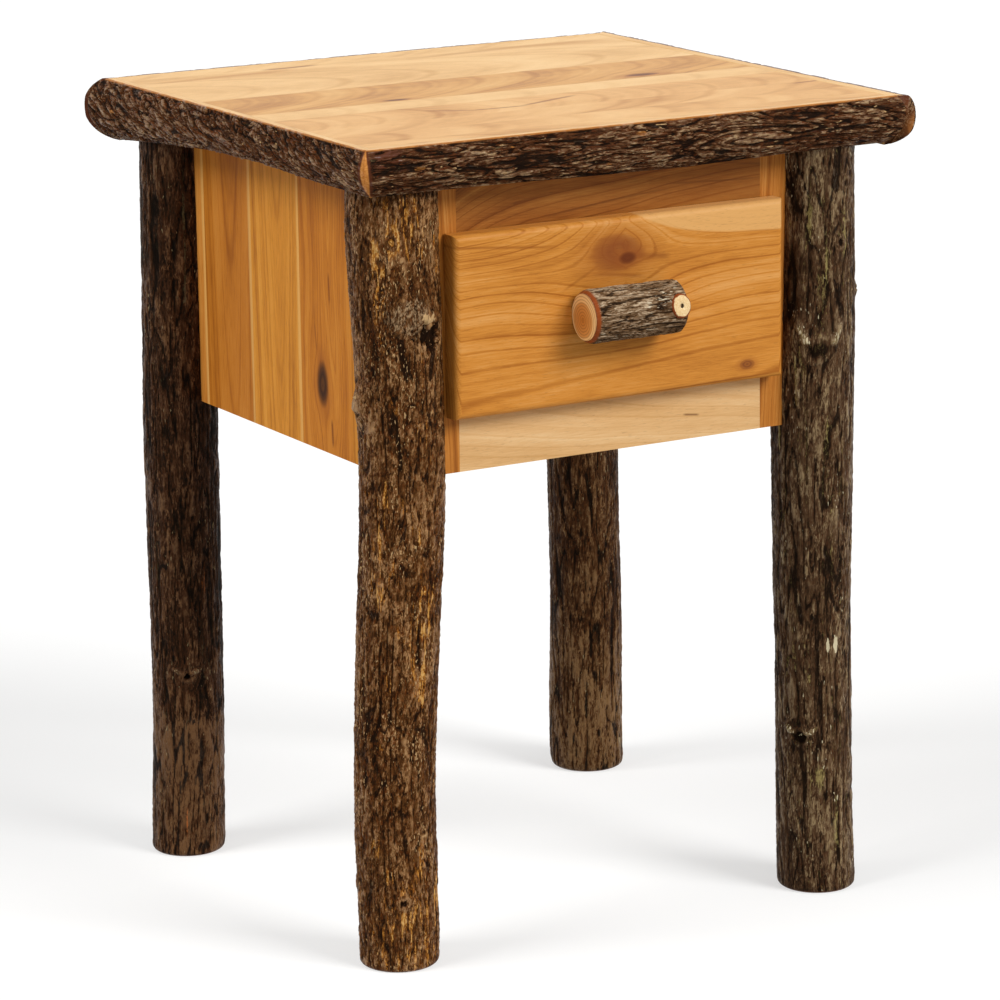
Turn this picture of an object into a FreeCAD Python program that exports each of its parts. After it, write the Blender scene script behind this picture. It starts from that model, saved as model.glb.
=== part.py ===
import FreeCAD, Part
import math
import os

Vector = FreeCAD.Vector
os.makedirs("parts", exist_ok=True)

# The table stands on its feet on the plane z = 0, drawer towards -Y, left side towards -X.
# Every size is in millimetres.

# Overall sizes
table_height = 720.0
leg_spacing_x = 425.0
leg_spacing_y = 398.0
base_centre_x = -6.7
base_centre_y = 3.6
case_height = 265.6
top_thickness = 22.0

# Legs: bark-on logs, thickness and lean given at a few heights
leg_radius = 35.0
foot_rounding = 4.0
leg_height_shares = (0, 0.12, 0.30, 0.45, 0.60, 0.80, 1)
leg_girth_shares = {
    "front_left": (0.98, 1.00, 0.99, 1.02, 1.02, 1.07, 1.08),
    "front_right": (1.00, 0.97, 0.96, 0.985, 1.035, 1.015, 1.00),
    "rear_left": (0.96, 0.945, 0.94, 0.955, 0.965, 0.965, 0.96),
    "rear_right": (1.00, 1.00, 0.98, 0.975, 0.98, 0.98, 0.98),
}
leg_lean_x_shares = {
    "front_left": (0.20, 0.15, 0.15, 0.27, 0.39, 0.31, 0.21),
    "front_right": (0.09, 0.01, -0.05, -0.12, -0.14, -0.11, -0.11),
    "rear_left": (-0.27, -0.20, -0.155, -0.165, -0.15, -0.06, -0.03),
    "rear_right": (0.49, 0.41, 0.39, 0.27, 0.20, 0.10, 0.02),
}
leg_lean_y_shares = {
    "front_left": (0.46, 0.41, 0.36, 0.30, 0.24, 0.19, 0.11),
    "front_right": (-0.06, -0.08, -0.10, -0.12, -0.14, -0.14, -0.14),
    "rear_left": (-0.04, -0.06, -0.09, -0.10, -0.13, -0.13, -0.13),
    "rear_right": (0.69, 0.63, 0.54, 0.44, 0.37, 0.28, 0.20),
}

# Knots: healed branches that stand out from the bark of each leg as the caps of sunken balls
knot_height_shares = {
    "front_left": (0.82, 0.711),
    "front_right": (0.72, 0.213),
    "rear_left": (0.252,),
    "rear_right": (0.473,),
}
knot_bearings_deg = {
    "front_left": (-92, 172),
    "front_right": (-114, -145),
    "rear_left": (-117,),
    "rear_right": (70,),
}
knot_radius_shares = {
    "front_left": (0.71, 0.55),
    "front_right": (0.63, 0.63),
    "rear_left": (0.60,),
    "rear_right": (0.60,),
}
knot_proud_shares = {
    "front_left": (0.086, 0.17),
    "front_right": (0.07, 0.07),
    "rear_left": (0.055,),
    "rear_right": (0.07,),
}

# Dowels that pin the top to the legs
dowel_radius = 6.0
dowel_in_leg = 30.0
dowel_in_top = 12.0
dowel_play = 0.1

# Top boards: how far the glued-up panel passes the lines of leg centres
panel_past_left_legs = 35.8
panel_past_right_legs = 47.0
panel_past_front_legs = 38.5
panel_past_rear_legs = 42.0
board_seam_shares = (0, 0.045, 0.129, 0.225, 0.358, 0.442, 0.639, 0.949, 1)

# Half-log edging: width of the planed flat on each side, log size at each corner, how far the
# log's centre lies below the planed flat, and how its girth changes along each run
flat_width_left = 8.0
flat_width_right = 15.8
flat_width_front = 8.5
flat_width_rear = 11.0
edging_log_radius = 28.0
edging_log_drop = 22.5
corner_radius_shares = {"front_left": 0.93, "front_right": 0.95, "rear_right": 0.98, "rear_left": 1.10}
corner_drop_shares = {"front_left": 0.756, "front_right": 0.78, "rear_right": 0.89, "rear_left": 1.15}
edging_station_shares = (0, 0.2, 0.4, 0.6, 0.8, 1)
edging_girth_shares = {
    "front": (1, 0.995, 1.045, 1.07, 1.01, 1),
    "right": (1, 0.97, 0.93, 0.95, 1, 1),
    "rear": (1, 0.97, 0.94, 0.98, 1.03, 1),
    "left": (1, 0.89, 0.80, 0.81, 0.93, 1),
}
mitre_overrun = 45.0
mitre_rounding = 14.0
cope_play = 0.6

# Case: side boards and back let into the legs, face frame
side_thickness = 19.0
side_board_width = 91.5
side_first_joint = 37.0
case_to_leg_centre = 18.0
back_thickness = 12.0
frame_thickness = 19.0
frame_front_proud = 10.3
bottom_rail_width = 61.0
top_rail_width = 73.0
left_stile_width = 41.65
right_stile_width = 45.65

# Drawer front and box
overlay_side = 12.3
overlay_top = 12.4
overlay_bottom = 12.4
drawer_front_thickness = 17.5
drawer_front_easing = 5.5
bumper_thickness = 0.8
bumper_radius = 4.0
bumper_gap = 0.3
box_thickness = 12.7
box_above_rail = 12.0
box_below_rail = 19.6
box_clear_of_back = 47.4
bottom_thickness = 6.0
bottom_above_edge = 8.0
bottom_in_groove = 5.0
bottom_play = 0.3
tail_count = 4
tail_root_share = 0.52
tail_end_share = 0.68

# Ball-bearing slides, members nested from the cabinet to the drawer
slide_width = 12.7
slide_sheet = 1.2
cabinet_member_height = 45.4
ball_gap = 3.3
ball_play = 0.15
cabinet_flange_reach = 9.7
middle_web_setback = 3.0
middle_flange_reach = 10.9
drawer_flange_setback = 5.2
slide_behind_frame = 3.0
balls_per_row = 8
runner_thickness = 19.0
runner_height = 60.0

# Log pull
pull_length = 91.0
pull_radius = 23.0
pull_planed_off = 3.0
pull_shift = -5.2
pull_rise = 1.2
pull_chamfer_depth = 3.2
pull_chamfer_length = 5.0
pull_station_shares = (0, 0.25, 0.5, 0.75, 1)
pull_girth_shares = (1, 0.99, 1, 0.985, 0.99)
stub_radius = 9.7
stub_from_end = 9.0
stub_proud = 0.8
stub_tilt_deg = 14.0

# Screws
screw_radius = 2.0
screw_head_radius = 4.0
screw_head_height = 1.2
screw_play = 0.1
pull_screw_length = 45.0
front_screw_length = 25.0
front_screw_inset_x = 35.0
front_screw_above_bottom = 8.0
front_screw_below_top = 22.0
pull_screw_spread = 30.0
top_screw_length = 32.0
runner_screw_length = 38.0
runner_screw_spread = 30.0
slide_screw_length = 10.0
screw_place_shares = (0.08, 0.5, 0.92)

# Cleats under the top
cleat_size = 20.0
cleat_leg_gap = 6.0

# Places worked out from the sizes above
top_underside = table_height - top_thickness
case_bottom_height = top_underside - case_height
leg_left = base_centre_x - leg_spacing_x / 2
leg_right = base_centre_x + leg_spacing_x / 2
leg_front = base_centre_y - leg_spacing_y / 2
leg_rear = base_centre_y + leg_spacing_y / 2
panel_left = leg_left - panel_past_left_legs
panel_right = leg_right + panel_past_right_legs
panel_front = leg_front - panel_past_front_legs
panel_rear = leg_rear + panel_past_rear_legs
side_front = leg_front + case_to_leg_centre
side_rear = leg_rear - case_to_leg_centre
frame_front = leg_front - frame_front_proud
frame_back = frame_front + frame_thickness
back_inside = leg_rear - back_thickness
case_left = leg_left + case_to_leg_centre
case_right = leg_right - case_to_leg_centre
opening_left = case_left + left_stile_width
opening_right = case_right - right_stile_width
opening_centre = (opening_left + opening_right) / 2
opening_bottom = case_bottom_height + bottom_rail_width
opening_top = top_underside - top_rail_width
front_back_face = frame_front - bumper_gap - bumper_thickness
box_left = opening_left + slide_width
box_right = opening_right - slide_width
box_front = front_back_face
box_back = back_inside - box_clear_of_back
box_bottom = opening_bottom + box_above_rail
box_top = opening_top - box_below_rail
box_height = box_top - box_bottom
slide_front = frame_front + slide_behind_frame
slide_length = box_back - slide_front
slide_centre_height = (box_bottom + box_top) / 2
leg_centres = {
    "front_left": (leg_left, leg_front),
    "front_right": (leg_right, leg_front),
    "rear_left": (leg_left, leg_rear),
    "rear_right": (leg_right, leg_rear),
}


def block(x0, x1, y0, y1, z0, z1):
    """A box between two corners."""
    return Part.makeBox(x1 - x0, y1 - y0, z1 - z0, Vector(x0, y0, z0))


def export(name, shape):
    """Write one named sub-part."""
    shape.exportStep("parts/" + name + ".step")


def circle_at(centre, axis, radius):
    """A closed circular wire."""
    return Part.Wire([Part.Circle(centre, axis, radius).toShape()])


def screw(seat, direction, length):
    """A pan-head screw: its head stands on the seat, its shank goes along the direction."""
    shank = Part.makeCylinder(screw_radius, length, seat, direction)
    head = Part.makeCylinder(screw_head_radius, screw_head_height, seat, -direction)
    return shank.fuse(head).removeSplitter()


def screw_hole(seat, direction, length):
    """The hole that a screw's shank needs, a little wider and deeper than the shank."""
    return Part.makeCylinder(screw_radius + screw_play, length + screw_play, seat, direction)


def leg_place(name, index):
    """Centre and radius of a leg at one of its listed heights."""
    centre_x = leg_centres[name][0] + leg_radius * leg_lean_x_shares[name][index]
    centre_y = leg_centres[name][1] + leg_radius * leg_lean_y_shares[name][index]
    height = top_underside * leg_height_shares[index]
    return Vector(centre_x, centre_y, height), leg_radius * leg_girth_shares[name][index]


def leg_line(name, share):
    """Centre and radius of a leg at any share of its height, straight between the listed ones."""
    index = max(place for place, listed in enumerate(leg_height_shares[:-1]) if listed <= share)
    low_centre, low_radius = leg_place(name, index)
    high_centre, high_radius = leg_place(name, index + 1)
    low_share, high_share = leg_height_shares[index : index + 2]
    part = (share - low_share) / (high_share - low_share)
    return low_centre + (high_centre - low_centre) * part, low_radius + (high_radius - low_radius) * part


def leg_knots(name):
    """The balls whose caps stand out from a leg's bark as its knots."""
    knots = []
    sizes = zip(knot_radius_shares[name], knot_proud_shares[name])
    places = zip(knot_height_shares[name], knot_bearings_deg[name], sizes)
    for share, bearing_deg, (radius_share, proud_share) in places:
        centre, radius = leg_line(name, share)
        bearing = math.radians(bearing_deg)
        knot_radius = leg_radius * radius_share
        out = radius + leg_radius * proud_share - knot_radius
        middle = centre + Vector(math.cos(bearing), math.sin(bearing), 0) * out
        knots.append(Part.makeSphere(knot_radius, middle))
    return knots


up = Vector(0, 0, 1)

# Dowels: one in the crown of each leg, standing up into the top
dowels = []
dowel_holes = []
for name in leg_centres:
    crown, crown_radius = leg_place(name, -1)
    dowel_start = crown - up * dowel_in_leg
    dowel_length = dowel_in_leg + dowel_in_top
    dowels.append(Part.makeCylinder(dowel_radius, dowel_length, dowel_start))
    hole_start = dowel_start - up * dowel_play
    hole_length = dowel_length + 2 * dowel_play
    dowel_holes.append(Part.makeCylinder(dowel_radius + dowel_play, hole_length, hole_start))
export("leg_dowels", Part.makeCompound(dowels))

# Cleats: strips screwed up into the top along both sides of the case
cleat_bottom = top_underside - cleat_size
side_left_inside = leg_left + side_thickness
side_right_inside = leg_right - side_thickness
cleat_centres = {
    "left": side_left_inside + cleat_size / 2,
    "right": side_right_inside - cleat_size / 2,
}
cleat_ends = {}
for side in cleat_centres:
    front_crown, front_crown_radius = leg_place("front_" + side, -1)
    rear_crown, rear_crown_radius = leg_place("rear_" + side, -1)
    cleat_front = front_crown.y + front_crown_radius + cleat_leg_gap
    cleat_rear = rear_crown.y - rear_crown_radius - cleat_leg_gap
    cleat_ends[side] = (cleat_front, cleat_rear)
top_screws = []
top_screw_holes = []
for side in cleat_centres:
    cleat_front, cleat_rear = cleat_ends[side]
    for share in screw_place_shares:
        place_y = cleat_front + (cleat_rear - cleat_front) * share
        seat = Vector(cleat_centres[side], place_y, cleat_bottom)
        top_screws.append(screw(seat, up, top_screw_length))
        top_screw_holes.append(screw_hole(seat, up, top_screw_length))
export("top_screws", Part.makeCompound(top_screws))
for side in cleat_centres:
    low_x = cleat_centres[side] - cleat_size / 2
    cleat = block(low_x, low_x + cleat_size, *cleat_ends[side], cleat_bottom, top_underside)
    export(side + "_top_cleat", cleat.cut(top_screw_holes))

# Top boards: glued edge to edge from front to rear, bored from below for dowels and screws
panel_depth = panel_rear - panel_front
for number in range(1, len(board_seam_shares)):
    near = panel_front + panel_depth * board_seam_shares[number - 1]
    far = panel_front + panel_depth * board_seam_shares[number]
    board = block(panel_left, panel_right, near, far, top_underside, table_height)
    export("top_board_" + str(number), board.cut(dowel_holes + top_screw_holes))


# Half-log edging: a log sawn flat on the inside and planed flat on top, mitred at the corners
corner_radius = {name: edging_log_radius * share for name, share in corner_radius_shares.items()}
corner_drop = {name: edging_log_drop * share for name, share in corner_drop_shares.items()}


def edging_section(start, outward, flat_width, radius, depth):
    """Closed section of an edging log: sawn face, planed flat and bark arc."""
    centre_out = flat_width - math.sqrt(radius ** 2 - depth ** 2)
    low_drop = depth + math.sqrt(radius ** 2 - centre_out ** 2)
    centre = start + outward * centre_out - up * depth
    inner_top = start
    outer_top = start + outward * flat_width
    inner_low = start - up * low_drop
    top_angle = math.acos((flat_width - centre_out) / radius)
    low_angle = -math.pi / 2 - math.asin(centre_out / radius)
    middle_angle = (top_angle + low_angle) / 2
    belly = centre + outward * (radius * math.cos(middle_angle)) + up * (radius * math.sin(middle_angle))
    sawn = Part.LineSegment(inner_low, inner_top).toShape()
    planed = Part.LineSegment(inner_top, outer_top).toShape()
    bark = Part.Arc(outer_top, belly, inner_low).toShape()
    return Part.Wire([sawn, planed, bark])


def edging_log(name, first, last, first_point, last_point, outward, flat_width):
    """One mitred edging log between two corners of the board panel."""
    along = (last_point - first_point).normalize()
    length = (last_point - first_point).Length
    sections = []
    for share, girth in zip(edging_station_shares, edging_girth_shares[name]):
        radius = girth * (corner_radius[first] * (1 - share) + corner_radius[last] * share)
        depth = girth * (corner_drop[first] * (1 - share) + corner_drop[last] * share)
        place = first_point + along * (length * share)
        sections.append(edging_section(place, outward, flat_width, radius, depth))
    before = sections[0].translated(along * -mitre_overrun)
    after = sections[-1].translated(along * mitre_overrun)
    log = Part.makeLoft([before] + sections + [after], True, True)
    reach = outward * mitre_overrun
    plan = [
        first_point,
        last_point,
        last_point + along * mitre_overrun + reach,
        first_point - along * mitre_overrun + reach,
        first_point,
    ]
    below = up * (2 * max(corner_radius.values()))
    wedge = Part.Face(Part.makePolygon([point - below for point in plan])).extrude(below)
    return log.common(wedge)


def corner_trimmer(name, corner, out_x, out_y, flat_x, flat_y):
    """What sanding takes off the outer ridge of a mitred corner."""
    radius = corner_radius[name]
    depth = corner_drop[name]
    belly = radius - math.sqrt(radius ** 2 - depth ** 2)
    centre = corner + out_x * (flat_x + belly - mitre_rounding) + out_y * (flat_y + belly - mitre_rounding)
    base = centre - up * (2 * radius)
    far = base + (out_x + out_y) * mitre_overrun
    low_x = min(base.x, far.x)
    low_y = min(base.y, far.y)
    height = 2 * radius
    outer = Part.makeBox(mitre_overrun, mitre_overrun, height, Vector(low_x, low_y, base.z))
    return outer.cut(Part.makeCylinder(mitre_rounding, height, base))


corner_points = {
    "front_left": Vector(panel_left, panel_front, table_height),
    "front_right": Vector(panel_right, panel_front, table_height),
    "rear_right": Vector(panel_right, panel_rear, table_height),
    "rear_left": Vector(panel_left, panel_rear, table_height),
}
out_left = Vector(-1, 0, 0)
out_right = Vector(1, 0, 0)
out_front = Vector(0, -1, 0)
out_rear = Vector(0, 1, 0)
edging_runs = {
    "front": ("front_left", "front_right", out_front, flat_width_front),
    "right": ("front_right", "rear_right", out_right, flat_width_right),
    "rear": ("rear_right", "rear_left", out_rear, flat_width_rear),
    "left": ("rear_left", "front_left", out_left, flat_width_left),
}
corner_sides = {
    "front_left": (out_left, out_front, flat_width_left, flat_width_front),
    "front_right": (out_right, out_front, flat_width_right, flat_width_front),
    "rear_right": (out_right, out_rear, flat_width_right, flat_width_rear),
    "rear_left": (out_left, out_rear, flat_width_left, flat_width_rear),
}
trimmers = {name: corner_trimmer(name, corner_points[name], *corner_sides[name]) for name in corner_sides}
copes = {}
for name in leg_centres:
    crown, crown_radius = leg_place(name, -1)
    cope_start = Vector(crown.x, crown.y, case_bottom_height)
    cope_height = top_underside - case_bottom_height
    copes[name] = Part.makeCylinder(crown_radius + cope_play, cope_height, cope_start)
for name, (first, last, outward, flat_width) in edging_runs.items():
    log = edging_log(name, first, last, corner_points[first], corner_points[last], outward, flat_width)
    log = log.cut([trimmers[first], trimmers[last], copes[first], copes[last]])
    export(name + "_log_edging", log)

# Side boards: vertical boards glued edge to edge, their outer faces on the leg centres
side_planes = {"left": leg_left, "right": leg_right - side_thickness}
joint_places = []
joint_place = side_rear - side_first_joint
while joint_place > side_front:
    joint_places.append(joint_place)
    joint_place = joint_place - side_board_width
side_edges = [side_rear] + joint_places + [side_front]
for side in side_planes:
    outer = side_planes[side]
    for number in range(1, len(side_edges)):
        far = side_edges[number - 1]
        near = side_edges[number]
        board = block(outer, outer + side_thickness, near, far, case_bottom_height, top_underside)
        export(side + "_side_board_" + str(number), board)

# Runner rails: from the face frame to the back, screwed through the back, carrying the slides
runner_faces = {"left": opening_left, "right": opening_right}
inward = {"left": out_right, "right": out_left}
runner_screws = []
runner_screw_holes = []
cabinet_screws = []
cabinet_screw_holes = []
for side in runner_faces:
    middle_x = runner_faces[side] - inward[side].x * runner_thickness / 2
    for level in (-1, 1):
        screw_height = slide_centre_height + level * runner_screw_spread / 2
        seat = Vector(middle_x, leg_rear, screw_height)
        runner_screws.append(screw(seat, out_front, runner_screw_length))
        runner_screw_holes.append(screw_hole(seat, out_front, runner_screw_length))
    for share in screw_place_shares:
        seat_x = runner_faces[side] + inward[side].x * slide_sheet
        seat = Vector(seat_x, slide_front + slide_length * share, slide_centre_height)
        cabinet_screws.append(screw(seat, -inward[side], slide_screw_length))
        cabinet_screw_holes.append(screw_hole(seat, -inward[side], slide_screw_length))
export("runner_screws", Part.makeCompound(runner_screws))
export("slide_cabinet_screws", Part.makeCompound(cabinet_screws))
runners = {}
for side in runner_faces:
    hidden = runner_faces[side] - inward[side].x * runner_thickness
    low_x = min(runner_faces[side], hidden)
    low_z = slide_centre_height - runner_height / 2
    runner = block(low_x, low_x + runner_thickness, frame_back, back_inside, low_z, low_z + runner_height)
    runners[side] = runner
    export(side + "_runner_rail", runner.cut(runner_screw_holes + cabinet_screw_holes))

# Back: one panel let into the rear legs
back = block(case_left, case_right, back_inside, leg_rear, case_bottom_height, top_underside)
export("back_panel", back.cut(runner_screw_holes))

# Face frame: stiles let into the front legs, rails between them
left_stile = block(case_left, opening_left, frame_front, frame_back, case_bottom_height, top_underside)
right_stile = block(opening_right, case_right, frame_front, frame_back, case_bottom_height, top_underside)
top_rail = block(opening_left, opening_right, frame_front, frame_back, opening_top, top_underside)
bottom_rail = block(opening_left, opening_right, frame_front, frame_back, case_bottom_height, opening_bottom)
export("left_stile", left_stile)
export("right_stile", right_stile)
export("top_rail", top_rail)
export("bottom_rail", bottom_rail)

# Legs: logs with a gentle wander and knots, grooved for the boards, the back and the face frame
side_grooves = {}
for side in side_planes:
    outer = side_planes[side]
    groove = block(outer, outer + side_thickness, side_front, side_rear, case_bottom_height, top_underside)
    side_grooves[side] = groove
leg_cuts = {
    "front_left": [side_grooves["left"], left_stile, runners["left"]],
    "front_right": [side_grooves["right"], right_stile, runners["right"]],
    "rear_left": [side_grooves["left"], back, runners["left"]],
    "rear_right": [side_grooves["right"], back, runners["right"]],
}
for name in leg_centres:
    rings = []
    for index in range(len(leg_height_shares)):
        centre, radius = leg_place(name, index)
        rings.append(circle_at(centre, up, radius))
    leg = Part.makeLoft(rings, True, False)
    foot_edges = [edge for edge in leg.Edges if edge.BoundBox.ZMax < foot_rounding]
    leg = leg.makeFillet(foot_rounding, foot_edges).fuse(leg_knots(name))
    export(name + "_leg", leg.cut(leg_cuts[name] + dowel_holes))

# Drawer box: dovetailed sides, front and back, with a bottom held in grooves
bottom_low = box_bottom + bottom_above_edge
bottom_high = bottom_low + bottom_thickness
bottom_left = box_left + box_thickness - bottom_in_groove
bottom_right = box_right - box_thickness + bottom_in_groove
bottom_front = box_front + box_thickness - bottom_in_groove
bottom_rear = box_back - box_thickness + bottom_in_groove
bottom = block(bottom_left, bottom_right, bottom_front, bottom_rear, bottom_low, bottom_high)
groove = block(
    bottom_left - bottom_play,
    bottom_right + bottom_play,
    bottom_front - bottom_play,
    bottom_rear + bottom_play,
    bottom_low - bottom_play,
    bottom_high + bottom_play,
)
export("drawer_bottom", bottom)


def dovetails(low_x, root_y, end_y):
    """The row of tails on one end of a drawer side, wider at the end than at the root."""
    tails = []
    pitch = box_height / tail_count
    for number in range(tail_count):
        middle = box_bottom + pitch * (number + 0.5)
        outline = [
            Vector(low_x, root_y, middle - pitch * tail_root_share / 2),
            Vector(low_x, root_y, middle + pitch * tail_root_share / 2),
            Vector(low_x, end_y, middle + pitch * tail_end_share / 2),
            Vector(low_x, end_y, middle - pitch * tail_end_share / 2),
            Vector(low_x, root_y, middle - pitch * tail_root_share / 2),
        ]
        tails.append(Part.Face(Part.makePolygon(outline)).extrude(out_right * box_thickness))
    return tails


front_root = box_front + box_thickness
back_root = box_back - box_thickness
side_lows = {"left": box_left, "right": box_right - box_thickness}
front_tails = []
back_tails = []
drawer_screws = []
drawer_screw_holes = []
for side in side_lows:
    front_tails = front_tails + dovetails(side_lows[side], front_root, box_front)
    back_tails = back_tails + dovetails(side_lows[side], back_root, box_back)
    seat_x = runner_faces[side] + inward[side].x * (slide_width - slide_sheet)
    for share in screw_place_shares:
        seat = Vector(seat_x, slide_front + slide_length * share, slide_centre_height)
        drawer_screws.append(screw(seat, inward[side], slide_screw_length))
        drawer_screw_holes.append(screw_hole(seat, inward[side], slide_screw_length))
export("slide_drawer_screws", Part.makeCompound(drawer_screws))
for side in side_lows:
    low_x = side_lows[side]
    core = block(low_x, low_x + box_thickness, front_root, back_root, box_bottom, box_top)
    tails = dovetails(low_x, front_root, box_front) + dovetails(low_x, back_root, box_back)
    body = core.fuse(tails).removeSplitter()
    export("drawer_box_" + side + "_side", body.cut([groove] + drawer_screw_holes))

# Screws through the box front into the drawer front and into the pull
front_left = opening_left - overlay_side
front_right = opening_right + overlay_side
front_low = opening_bottom - overlay_bottom
front_high = opening_top + overlay_top
front_middle = (front_low + front_high) / 2
front_face = front_back_face - drawer_front_thickness
pull_centre_x = opening_centre + pull_shift
pull_axis_y = front_face - pull_radius + pull_planed_off
pull_axis_z = front_middle + pull_rise
front_screws = []
front_screw_holes = []
for place_x in (box_left + front_screw_inset_x, box_right - front_screw_inset_x):
    for place_z in (bottom_high + front_screw_above_bottom, box_top - front_screw_below_top):
        seat = Vector(place_x, front_root, place_z)
        front_screws.append(screw(seat, out_front, front_screw_length))
        front_screw_holes.append(screw_hole(seat, out_front, front_screw_length))
export("drawer_front_screws", Part.makeCompound(front_screws))
pull_screws = []
pull_screw_holes = []
for place_x in (pull_centre_x - pull_screw_spread / 2, pull_centre_x + pull_screw_spread / 2):
    seat = Vector(place_x, front_root, pull_axis_z)
    pull_screws.append(screw(seat, out_front, pull_screw_length))
    pull_screw_holes.append(screw_hole(seat, out_front, pull_screw_length))
export("pull_screws", Part.makeCompound(pull_screws))
box_front_board = block(box_left, box_right, box_front, front_root, box_bottom, box_top)
box_front_cuts = [groove] + front_tails + front_screw_holes + pull_screw_holes
export("drawer_box_front", box_front_board.cut(box_front_cuts))
box_back_board = block(box_left, box_right, back_root, box_back, box_bottom, box_top)
export("drawer_box_back", box_back_board.cut([groove] + back_tails))

# Drawer front: one board laid over the face frame, its front edges rounded over
front = block(front_left, front_right, front_face, front_back_face, front_low, front_high)
eased = [edge for edge in front.Edges if edge.BoundBox.YMax < front_face + drawer_front_easing]
front = front.makeFillet(drawer_front_easing, eased)
export("drawer_front", front.cut(front_screw_holes + pull_screw_holes))
bumpers = []
for place_x in (front_left + overlay_side / 2, front_right - overlay_side / 2):
    for place_z in (front_low + overlay_bottom / 2, front_high - overlay_top / 2):
        base = Vector(place_x, front_back_face, place_z)
        bumpers.append(Part.makeCylinder(bumper_radius, bumper_thickness, base, out_rear))
export("drawer_bumpers", Part.makeCompound(bumpers))

# Pull: a short log planed flat where it meets the drawer front, with a cut branch stub
pull_start = pull_centre_x - pull_length / 2
pull_end = pull_start + pull_length
pull_rings = []
for share, girth in zip(pull_station_shares, pull_girth_shares):
    place_x = pull_start + pull_chamfer_length
    place_x = place_x + (pull_length - 2 * pull_chamfer_length) * share
    centre = Vector(place_x, pull_axis_y, pull_axis_z)
    pull_rings.append(circle_at(centre, out_right, pull_radius * girth))
left_face = circle_at(
    Vector(pull_start, pull_axis_y, pull_axis_z),
    out_right,
    pull_radius * pull_girth_shares[0] - pull_chamfer_depth,
)
right_face = circle_at(
    Vector(pull_end, pull_axis_y, pull_axis_z),
    out_right,
    pull_radius * pull_girth_shares[-1] - pull_chamfer_depth,
)
pull = Part.makeLoft([left_face] + pull_rings + [right_face], True, True)
stub_tilt = math.radians(stub_tilt_deg)
stub_direction = out_front * math.cos(stub_tilt) + up * math.sin(stub_tilt)
stub_start = Vector(pull_end - stub_from_end, pull_axis_y, pull_axis_z)
stub = Part.makeCylinder(stub_radius, pull_radius + stub_proud, stub_start, stub_direction)
past_end = Part.makeCylinder(2 * pull_radius, pull_radius, Vector(pull_end, pull_axis_y, pull_axis_z), out_right)
pull = pull.fuse(stub.cut(past_end))
behind = block(
    pull_start - pull_radius,
    pull_end + pull_radius,
    front_face,
    front_face + 2 * pull_radius,
    pull_axis_z - 2 * pull_radius,
    pull_axis_z + 2 * pull_radius,
)
export("log_pull", pull.cut([behind] + pull_screw_holes))

# Slides: three nested channels a side, with balls in the gaps between their flanges
slide_back = slide_front + slide_length
middle_height = cabinet_member_height - 2 * slide_sheet - 2 * ball_gap
drawer_member_height = middle_height - 2 * slide_sheet - 2 * ball_gap
ball_radius = ball_gap / 2 - ball_play


def channel(side, web_start, web_end, reach_start, reach_end, height):
    """A channel as long as the slide: its web and its two flanges, measured from the runner."""
    face = runner_faces[side]
    sign = inward[side].x
    web_x = sorted((face + sign * web_start, face + sign * web_end))
    reach_x = sorted((face + sign * reach_start, face + sign * reach_end))
    low = slide_centre_height - height / 2
    high = slide_centre_height + height / 2
    web = block(web_x[0], web_x[1], slide_front, slide_back, low, high)
    lower = block(reach_x[0], reach_x[1], slide_front, slide_back, low, low + slide_sheet)
    upper = block(reach_x[0], reach_x[1], slide_front, slide_back, high - slide_sheet, high)
    return web.fuse([lower, upper]).removeSplitter()


for side in runner_faces:
    cabinet = channel(side, 0, slide_sheet, 0, cabinet_flange_reach, cabinet_member_height)
    middle_web_end = middle_web_setback + slide_sheet
    middle = channel(
        side, middle_web_setback, middle_web_end, middle_web_setback, middle_flange_reach, middle_height
    )
    drawer_web_start = slide_width - slide_sheet
    drawer = channel(
        side, drawer_web_start, slide_width, drawer_flange_setback, slide_width, drawer_member_height
    )
    export(side + "_slide_cabinet_member", cabinet.cut(cabinet_screw_holes))
    export(side + "_slide_middle_member", middle)
    export(side + "_slide_drawer_member", drawer.cut(drawer_screw_holes))
    outer_x = runner_faces[side] + inward[side].x * (middle_web_end + cabinet_flange_reach) / 2
    inner_x = runner_faces[side] + inward[side].x * (drawer_flange_setback + middle_flange_reach) / 2
    outer_level = middle_height / 2 + ball_gap / 2
    inner_level = drawer_member_height / 2 + ball_gap / 2
    balls = []
    for number in range(balls_per_row):
        step = slide_length / 2 / balls_per_row * (number + 0.5)
        for level in (-1, 1):
            outer_ball = Vector(outer_x, slide_back - step, slide_centre_height + level * outer_level)
            inner_ball = Vector(inner_x, slide_front + step, slide_centre_height + level * inner_level)
            balls.append(Part.makeSphere(ball_radius, outer_ball))
            balls.append(Part.makeSphere(ball_radius, inner_ball))
    export(side + "_slide_balls", Part.makeCompound(balls))
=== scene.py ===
import math

import bpy
import numpy as np
from mathutils import Matrix, Vector


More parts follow.
